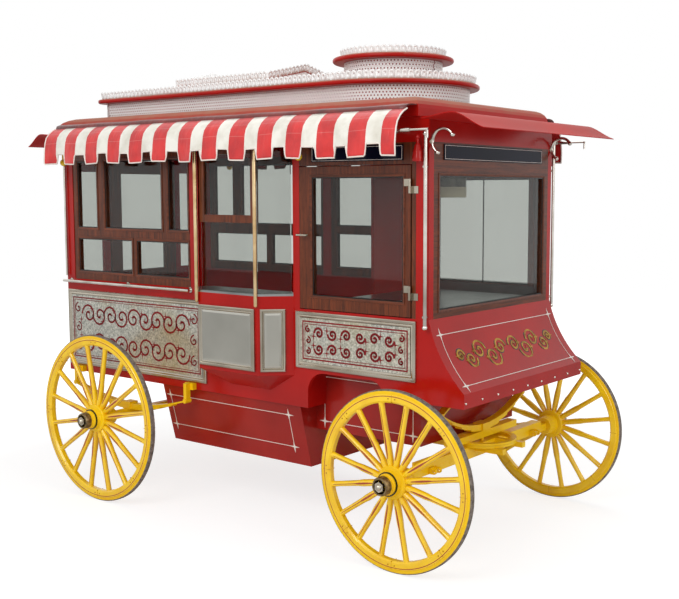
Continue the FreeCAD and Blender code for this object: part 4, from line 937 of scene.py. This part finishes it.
def addPlate(bm, centre, face, size, rise=0.001, slope=0.001):
    right, up = face
    out = right.cross(up)
    turn = Matrix((right, up, out)).transposed().to_4x4()
    scale = Matrix.Diagonal((size[0], size[1], rise, 1))
    place = Matrix.Translation(Vector(centre) + out * rise / 2) @ turn @ scale
    plate = bmesh.ops.create_cube(bm, size=1.0, matrix=place)["verts"]
    top = [v for v in plate if (v.co - Vector(centre)).dot(out) > rise / 2]
    middle = Vector(centre) + out * rise
    for v in top:
        away = v.co - middle
        v.co -= right * math.copysign(slope, away.dot(right)) + up * math.copysign(slope, away.dot(up))


def addStar(bm, centre, face, size, rise=0.0008):
    # a four-pointed lining star with long thin rays
    right, up = face
    turn = Matrix((right, up, right.cross(up))).transposed().to_4x4()
    ring = bmesh.ops.create_circle(bm, cap_ends=True, segments=8, radius=1.0)["verts"]
    for i, v in enumerate(ring):
        v.co *= size if i % 2 == 0 else size * 0.2
    grown = bmesh.ops.extrude_face_region(bm, geom=list(ring[0].link_faces))["geom"]
    lifted = [v for v in grown if isinstance(v, bmesh.types.BMVert)]
    bmesh.ops.translate(bm, vec=(0, 0, rise), verts=lifted)
    bmesh.ops.transform(bm, matrix=Matrix.Translation(Vector(centre)) @ turn, verts=list(ring) + lifted)


def addScroll(bm, centre, face, reach, turns, width, flip=1, start=0.0):
    # a painted spiral that thins towards its eye
    right, up = face
    points = []
    for i in range(19):
        share = i / 18
        angle = start + flip * turns * 2 * math.pi * share
        radius = reach * (1 - 0.86 * share)
        points.append(Vector(centre) + right * radius * math.cos(angle) + up * radius * math.sin(angle))
    addStripe(bm, points, right.cross(up), width)
    addStar(bm, points[-1], face, width * 1.5)


# window joinery: a moulding and a black bead round every light
joinery = dict(wall=0.6212, inner=0.6175,
               rearLights=[(-1.314, -1.121, 1.640, 2.060), (-1.041, -0.511, 1.640, 2.060),
                           (-0.447, -0.280, 1.640, 2.060), (-1.314, -0.790, 1.360, 1.570),
                           (-0.743, -0.280, 1.360, 1.570)],
               farLights=[(-0.145, 0.505, 1.640, 2.060), (-0.145, 0.505, 1.360, 1.590),
                          (0.667, 1.313, 1.318, 1.945)],
               moulding=[(0.001, 0.0035), (0.005, 0.0), (0.008, -0.0030)],
               bead=[(0.0005, 0.0016), (0.0055, 0.0), (0.0005, -0.0016)], lap=0.014)


def dressLight(timber, black, centre, face, size):
    out = face[0].cross(face[1])
    lap = joinery["lap"]
    addBorder(timber, centre, face, (size[0] + 2 * lap, size[1] + 2 * lap), joinery["moulding"])
    addBorder(black, Vector(centre) - out * (joinery["wall"] - joinery["inner"]), face, size, joinery["bead"])


def makeJoinery():
    timber, black = bmesh.new(), bmesh.new()
    for side, face, lights in ((-1, nearFace, joinery["rearLights"]),
                               (1, farFace, joinery["rearLights"] + joinery["farLights"])):
        for x0, x1, z0, z1 in lights:
            centre = (midX + (x0 + x1) / 2, side * joinery["wall"], (z0 + z1) / 2)
            dressLight(timber, black, centre, face, (x1 - x0, z1 - z0))
    dressLight(timber, black, (midX + 1.4402, 0, 1.615), frontFace, (1.060, 0.668))
    makePiece("lightMouldings", timber, mahoganyAlong, wagonBody, sharp=20)
    makePiece("lightBeads", black, blackEnamel, wagonBody, sharp=20)
    timber, black = bmesh.new(), bmesh.new()
    dressLight(timber, black, (midX + 0.9885, -0.6292, 1.6315), nearFace, (0.595, 0.627))
    makePiece("popcornDoorMoulding", timber, mahoganyAlong, "popcorn_door_body", sharp=20)
    makePiece("popcornDoorBead", black, blackEnamel, "popcorn_door_body", sharp=20)


makeJoinery()
print("joinery dressed")

# nickel sign frames with a moulded edge, and what is painted on the signs
signLook = dict(rise=0.014, field=0.0082, lines=((0.014, 0.0075), (0.030, 0.0030)), scrollMargin=0.076)
rearSign = dict(x=(-1.426, -0.132), z=(0.746, 1.236), width=0.034, scrolls=9)
frontSign = dict(x=(0.572, 1.369), z=(0.920, 1.228), width=0.034, scrolls=6)
signs = [dict(rearSign, face=nearFace, y=-0.625), dict(frontSign, face=nearFace, y=-0.625),
         dict(rearSign, face=farFace, y=0.625), dict(frontSign, face=farFace, y=0.625),
         dict(x=(-0.042, 0.394), z=(0.892, 1.236), width=0.030, scrolls=0, face=nearFace, y=-0.763)]
cant = dict(start=(0.410, -0.763), turn=math.radians(44.6), middle=0.083, size=(0.138, 0.344), z=1.064,
            width=0.024, mirror=(0.094, 0.300))


def mouldingSteps(width):
    rise = signLook["rise"]
    return [(0.0005, rise - 0.003), (0.004, 0.003), (width * 0.30, 0.0), (width * 0.12, -0.004),
            (width * 0.10, 0.0015), (width * 0.12, 0.0), (width * 0.20, -0.005)]


def makeSigns():
    frames, lining, ornament, mirror = bmesh.new(), bmesh.new(), bmesh.new(), bmesh.new()
    for sign in signs:
        right, up = sign["face"]
        out = right.cross(up)
        centre = Vector((midX + sum(sign["x"]) / 2, sign["y"], sum(sign["z"]) / 2))
        size = (sign["x"][1] - sign["x"][0], sign["z"][1] - sign["z"][0])
        addBorder(frames, centre, sign["face"], size, mouldingSteps(sign["width"]))
        field = centre + out * signLook["field"]
        inner = (size[0] - 2 * sign["width"], size[1] - 2 * sign["width"])
        if not sign["scrolls"]:
            addPlate(mirror, field, sign["face"], (inner[0] + 0.004, inner[1] + 0.004), 0.0012, 0.012)
            continue
        for inset, wide in signLook["lines"]:
            addBorder(lining, field, sign["face"], (inner[0] - 2 * inset, inner[1] - 2 * inset),
                      [(0.0004, 0.0008), (wide, 0.0), (0.0004, -0.0008)])
        paintScrolls(ornament, field, sign, [side - signLook["scrollMargin"] for side in inner])
    makePiece("signFrames", frames, nickel, wagonBody, ("sign_mouldings",), sharp=25)
    makePiece("signLining", lining, signRed, wagonBody)
    makePiece("signScrolls", ornament, signRed, wagonBody)
    makePiece("bayMirror", mirror, greySilver, wagonBody, sharp=5)


def paintScrolls(bm, field, sign, inner):
    # traditional running leaf scrolls in two rows, mirrored about the middle, with leaf tips at both ends
    face = sign["face"]
    right, up = face
    reach = inner[1] * 0.20
    for height in (0.26, -0.26):
        for i in range(sign["scrolls"]):
            across = ((i + 0.5) / sign["scrolls"] - 0.5) * inner[0] * 0.86
            spot = field + right * across + up * height * inner[1]
            way = 1 if across >= 0 else -1
            swing = way if (i % 2 == 0) == (height > 0) else -way
            addScroll(bm, spot, face, reach, 1.35, 0.0125, swing, 0 if way > 0 else math.pi)
            addStar(bm, spot + right * way * reach * 1.15 + up * reach * 0.55 * swing, face, 0.024)
    for way in (-1, 1):
        for height in (-0.36, 0.0, 0.36):
            tip = field + right * way * inner[0] * 0.475 + up * height * inner[1]
            addScroll(bm, tip, face, inner[0] * 0.03, 1.1, 0.009, way if height <= 0 else -way, math.pi / 2)


def makeCantFrame():
    # the narrow mirror on the bay's slanted corner
    bm, mirror = bmesh.new(), bmesh.new()
    along = Vector((math.cos(cant["turn"]), math.sin(cant["turn"]), 0))
    face = (along, Vector((0, 0, 1)))
    x, y = cant["start"]
    centre = Vector((midX + x, y, cant["z"])) + along * cant["middle"]
    addBorder(bm, centre, face, cant["size"], mouldingSteps(cant["width"]))
    addPlate(mirror, centre + face[0].cross(face[1]) * signLook["field"], face, cant["mirror"], 0.0030, 0.012)
    makePiece("cantFrame", bm, nickel, wagonBody, sharp=25)
    makePiece("cantMirror", mirror, greySilver, wagonBody, sharp=5)


makeSigns()
makeCantFrame()
print("signs framed")

# dark glass transom plates with a pale border line
transom = dict(margin=0.010, wide=0.0016, plates=[((0.9875, -0.6312, 2.063), nearFace, (0.597, 0.078)),
                                                  ((0.9875, 0.6312, 2.063), farFace, (0.597, 0.078)),
                                                  ((1.4462, 0, 2.065), frontFace, (1.000, 0.078))])
plateLines = bmesh.new()
for (x, y, z), face, size in transom["plates"]:
    addBorder(plateLines, (midX + x, y, z), face, [side - transom["margin"] for side in size],
              [(0.0003, 0.0008), (transom["wide"], 0.0), (0.0003, -0.0008)])
makePiece("transomLines", plateLines, pinstripe, wagonBody)

# cream pinstripe frames with a star at every corner
lining = dict(wide=0.0036, star=0.038,
              sides=[dict(x=(-0.490, 0.480), z=(0.445, 0.635), lean=0.25, out=0.4358),  # tank
                     dict(x=(0.640, 1.240), z=(0.600, 0.850), lean=0.0, out=0.4708)])  # wheel-well box
apron = dict(top=(1.440, 1.240), foot=(1.651, 0.892), sag=0.030, half=0.560, shares=(0.20, 0.90),
             rivets=9, rivetPitch=0.1525, rivetZ=0.845, rivetRadius=0.0062,
             scrolls=[(0.070, 0.50, 0.052), (0.170, 0.60, 0.066), (0.275, 0.48, 0.060), (0.375, 0.58, 0.048),
                      (0.455, 0.50, 0.034)])


def apronPoint(share, y, lift=0.0010):
    (xa, za), (xb, zb) = apron["top"], apron["foot"]
    length = math.hypot(xb - xa, zb - za)
    out = Vector(((za - zb) / length, (xb - xa) / length))
    bend = -apron["sag"] * (1 - (2 * share - 1) ** 2) + lift
    return Vector((midX + xa + (xb - xa) * share + out.x * bend, y, za + (zb - za) * share + out.y * bend))


def apronFace(share):
    return Vector((0, 1, 0)), (apronPoint(share - 0.01, 0) - apronPoint(share + 0.01, 0)).normalized()


def frameLines(bm, side, frame):
    # a line frame on a side face, which comes out by "lean" for each unit of height
    x, z = frame["x"], frame["z"]
    up = Vector((0, side * frame["lean"], 1)).normalized()
    face = (Vector((-side, 0, 0)), up)
    out = face[0].cross(face[1])
    corners = [Vector((midX + cornerX, side * (frame["out"] + frame["lean"] * cornerZ), cornerZ))
               for cornerX, cornerZ in ((x[0], z[0]), (x[1], z[0]), (x[1], z[1]), (x[0], z[1]))]
    addStripe(bm, corners + corners[:1], out, lining["wide"])
    for corner in corners:
        addStar(bm, corner + out * 0.0004, face, lining["star"])


def makePinstripes():
    bm = bmesh.new()
    first, last = apron["shares"]
    half = apron["half"]
    for y in (-half, half):
        line = [apronPoint(first + (last - first) * i / 10, y) for i in range(11)]
        addStripe(bm, line, (0.85, 0, 0.52), lining["wide"])
    for share in apron["shares"]:
        face = apronFace(share)
        out = face[0].cross(face[1])
        addStripe(bm, [apronPoint(share, -half), apronPoint(share, half)], out, lining["wide"])
        for y in (-half, half):
            addStar(bm, apronPoint(share, y, 0.0012), face, lining["star"])
    for side in (-1, 1):
        for frame in lining["sides"]:
            frameLines(bm, side, frame)
    makePiece("pinstripes", bm, pinstripe, wagonBody)


def makeApronScrolls():
    # gold leaf scrollwork with a dark outline, mirrored about the middle of the apron
    gold, dark = bmesh.new(), bmesh.new()
    for way in (-1, 1):
        start = math.pi if way > 0 else 0
        for i, (y, share, reach) in enumerate(apron["scrolls"]):
            face = apronFace(share)
            spin = way if i % 2 else -way
            addScroll(dark, apronPoint(share, way * y, 0.0008), face, reach + 0.003, 1.4, 0.018, spin, start)
            addScroll(gold, apronPoint(share, way * y, 0.0018), face, reach, 1.4, 0.011, spin, start)
            addStar(gold, apronPoint(share, way * (y + reach * 0.9), 0.0022), face, 0.022)
    makePiece("apronScrollShade", dark, blackEnamel, wagonBody)
    makePiece("apronScrolls", gold, goldLeaf, wagonBody)


makePinstripes()
makeApronScrolls()
rivets = bmesh.new()
for i in range(apron["rivets"]):
    y = (i - (apron["rivets"] - 1) / 2) * apron["rivetPitch"]
    addDome(rivets, (midX + apron["foot"][0] + 0.0002, y, apron["rivetZ"]), apron["rivetRadius"], 5, 10)
makePiece("apronRivets", rivets, brightNickel, wagonBody)
print("lining and rivets made")

# popper: ivory enamel round the foot of the kettle, and a dark rod in the far window
popper = dict(x=1.150, y=-0.060, inside=0.1186, outside=0.1216, foot=(1.839, 1.895),
              rod=(1.006, 0.585), rodZ=(1.318, 1.945), rodRadius=0.004)
kettleFoot = bmesh.new()
outline = [kettleFoot.verts.new((r, 0, z)) for r, z in zip(
    (popper["inside"], popper["outside"], popper["outside"], popper["inside"]),
    (popper["foot"][0], popper["foot"][0], popper["foot"][1], popper["foot"][1]))]
edges = [kettleFoot.edges.new(pair) for pair in zip(outline, outline[1:] + outline[:1])]
bmesh.ops.spin(kettleFoot, geom=outline + edges, cent=(0, 0, 0), axis=(0, 0, 1), angle=2 * math.pi, steps=48,
               use_merge=True, use_duplicate=False)
bmesh.ops.translate(kettleFoot, vec=(midX + popper["x"], popper["y"], 0), verts=kettleFoot.verts)
makePiece("kettleFoot", kettleFoot, ivoryEnamel, wagonBody)
rod = bmesh.new()
rodX, rodY = popper["rod"]
addRod(rod, *((midX + rodX, rodY, z) for z in popper["rodZ"]), popper["rodRadius"])
makePiece("farWindowRod", rod, blackEnamel, wagonBody)

# skylight gables: a red line under the crest at both ends
trim = bmesh.new()
for x, way in ((skylight["front"], 1), (skylight["rear"], -1)):
    at = midX + x + way * 0.0008
    foot = skylight["eave"] + 0.004
    line = [Vector((at, -skylight["half"], foot)), Vector((at, 0, skylight["eave"] + skylight["rise"])),
            Vector((at, skylight["half"], foot))]
    addStripe(trim, line, (way, 0, 0), 0.010)
makePiece("skylightTrim", trim, redEnamel, wagonBody)
print("trim made")
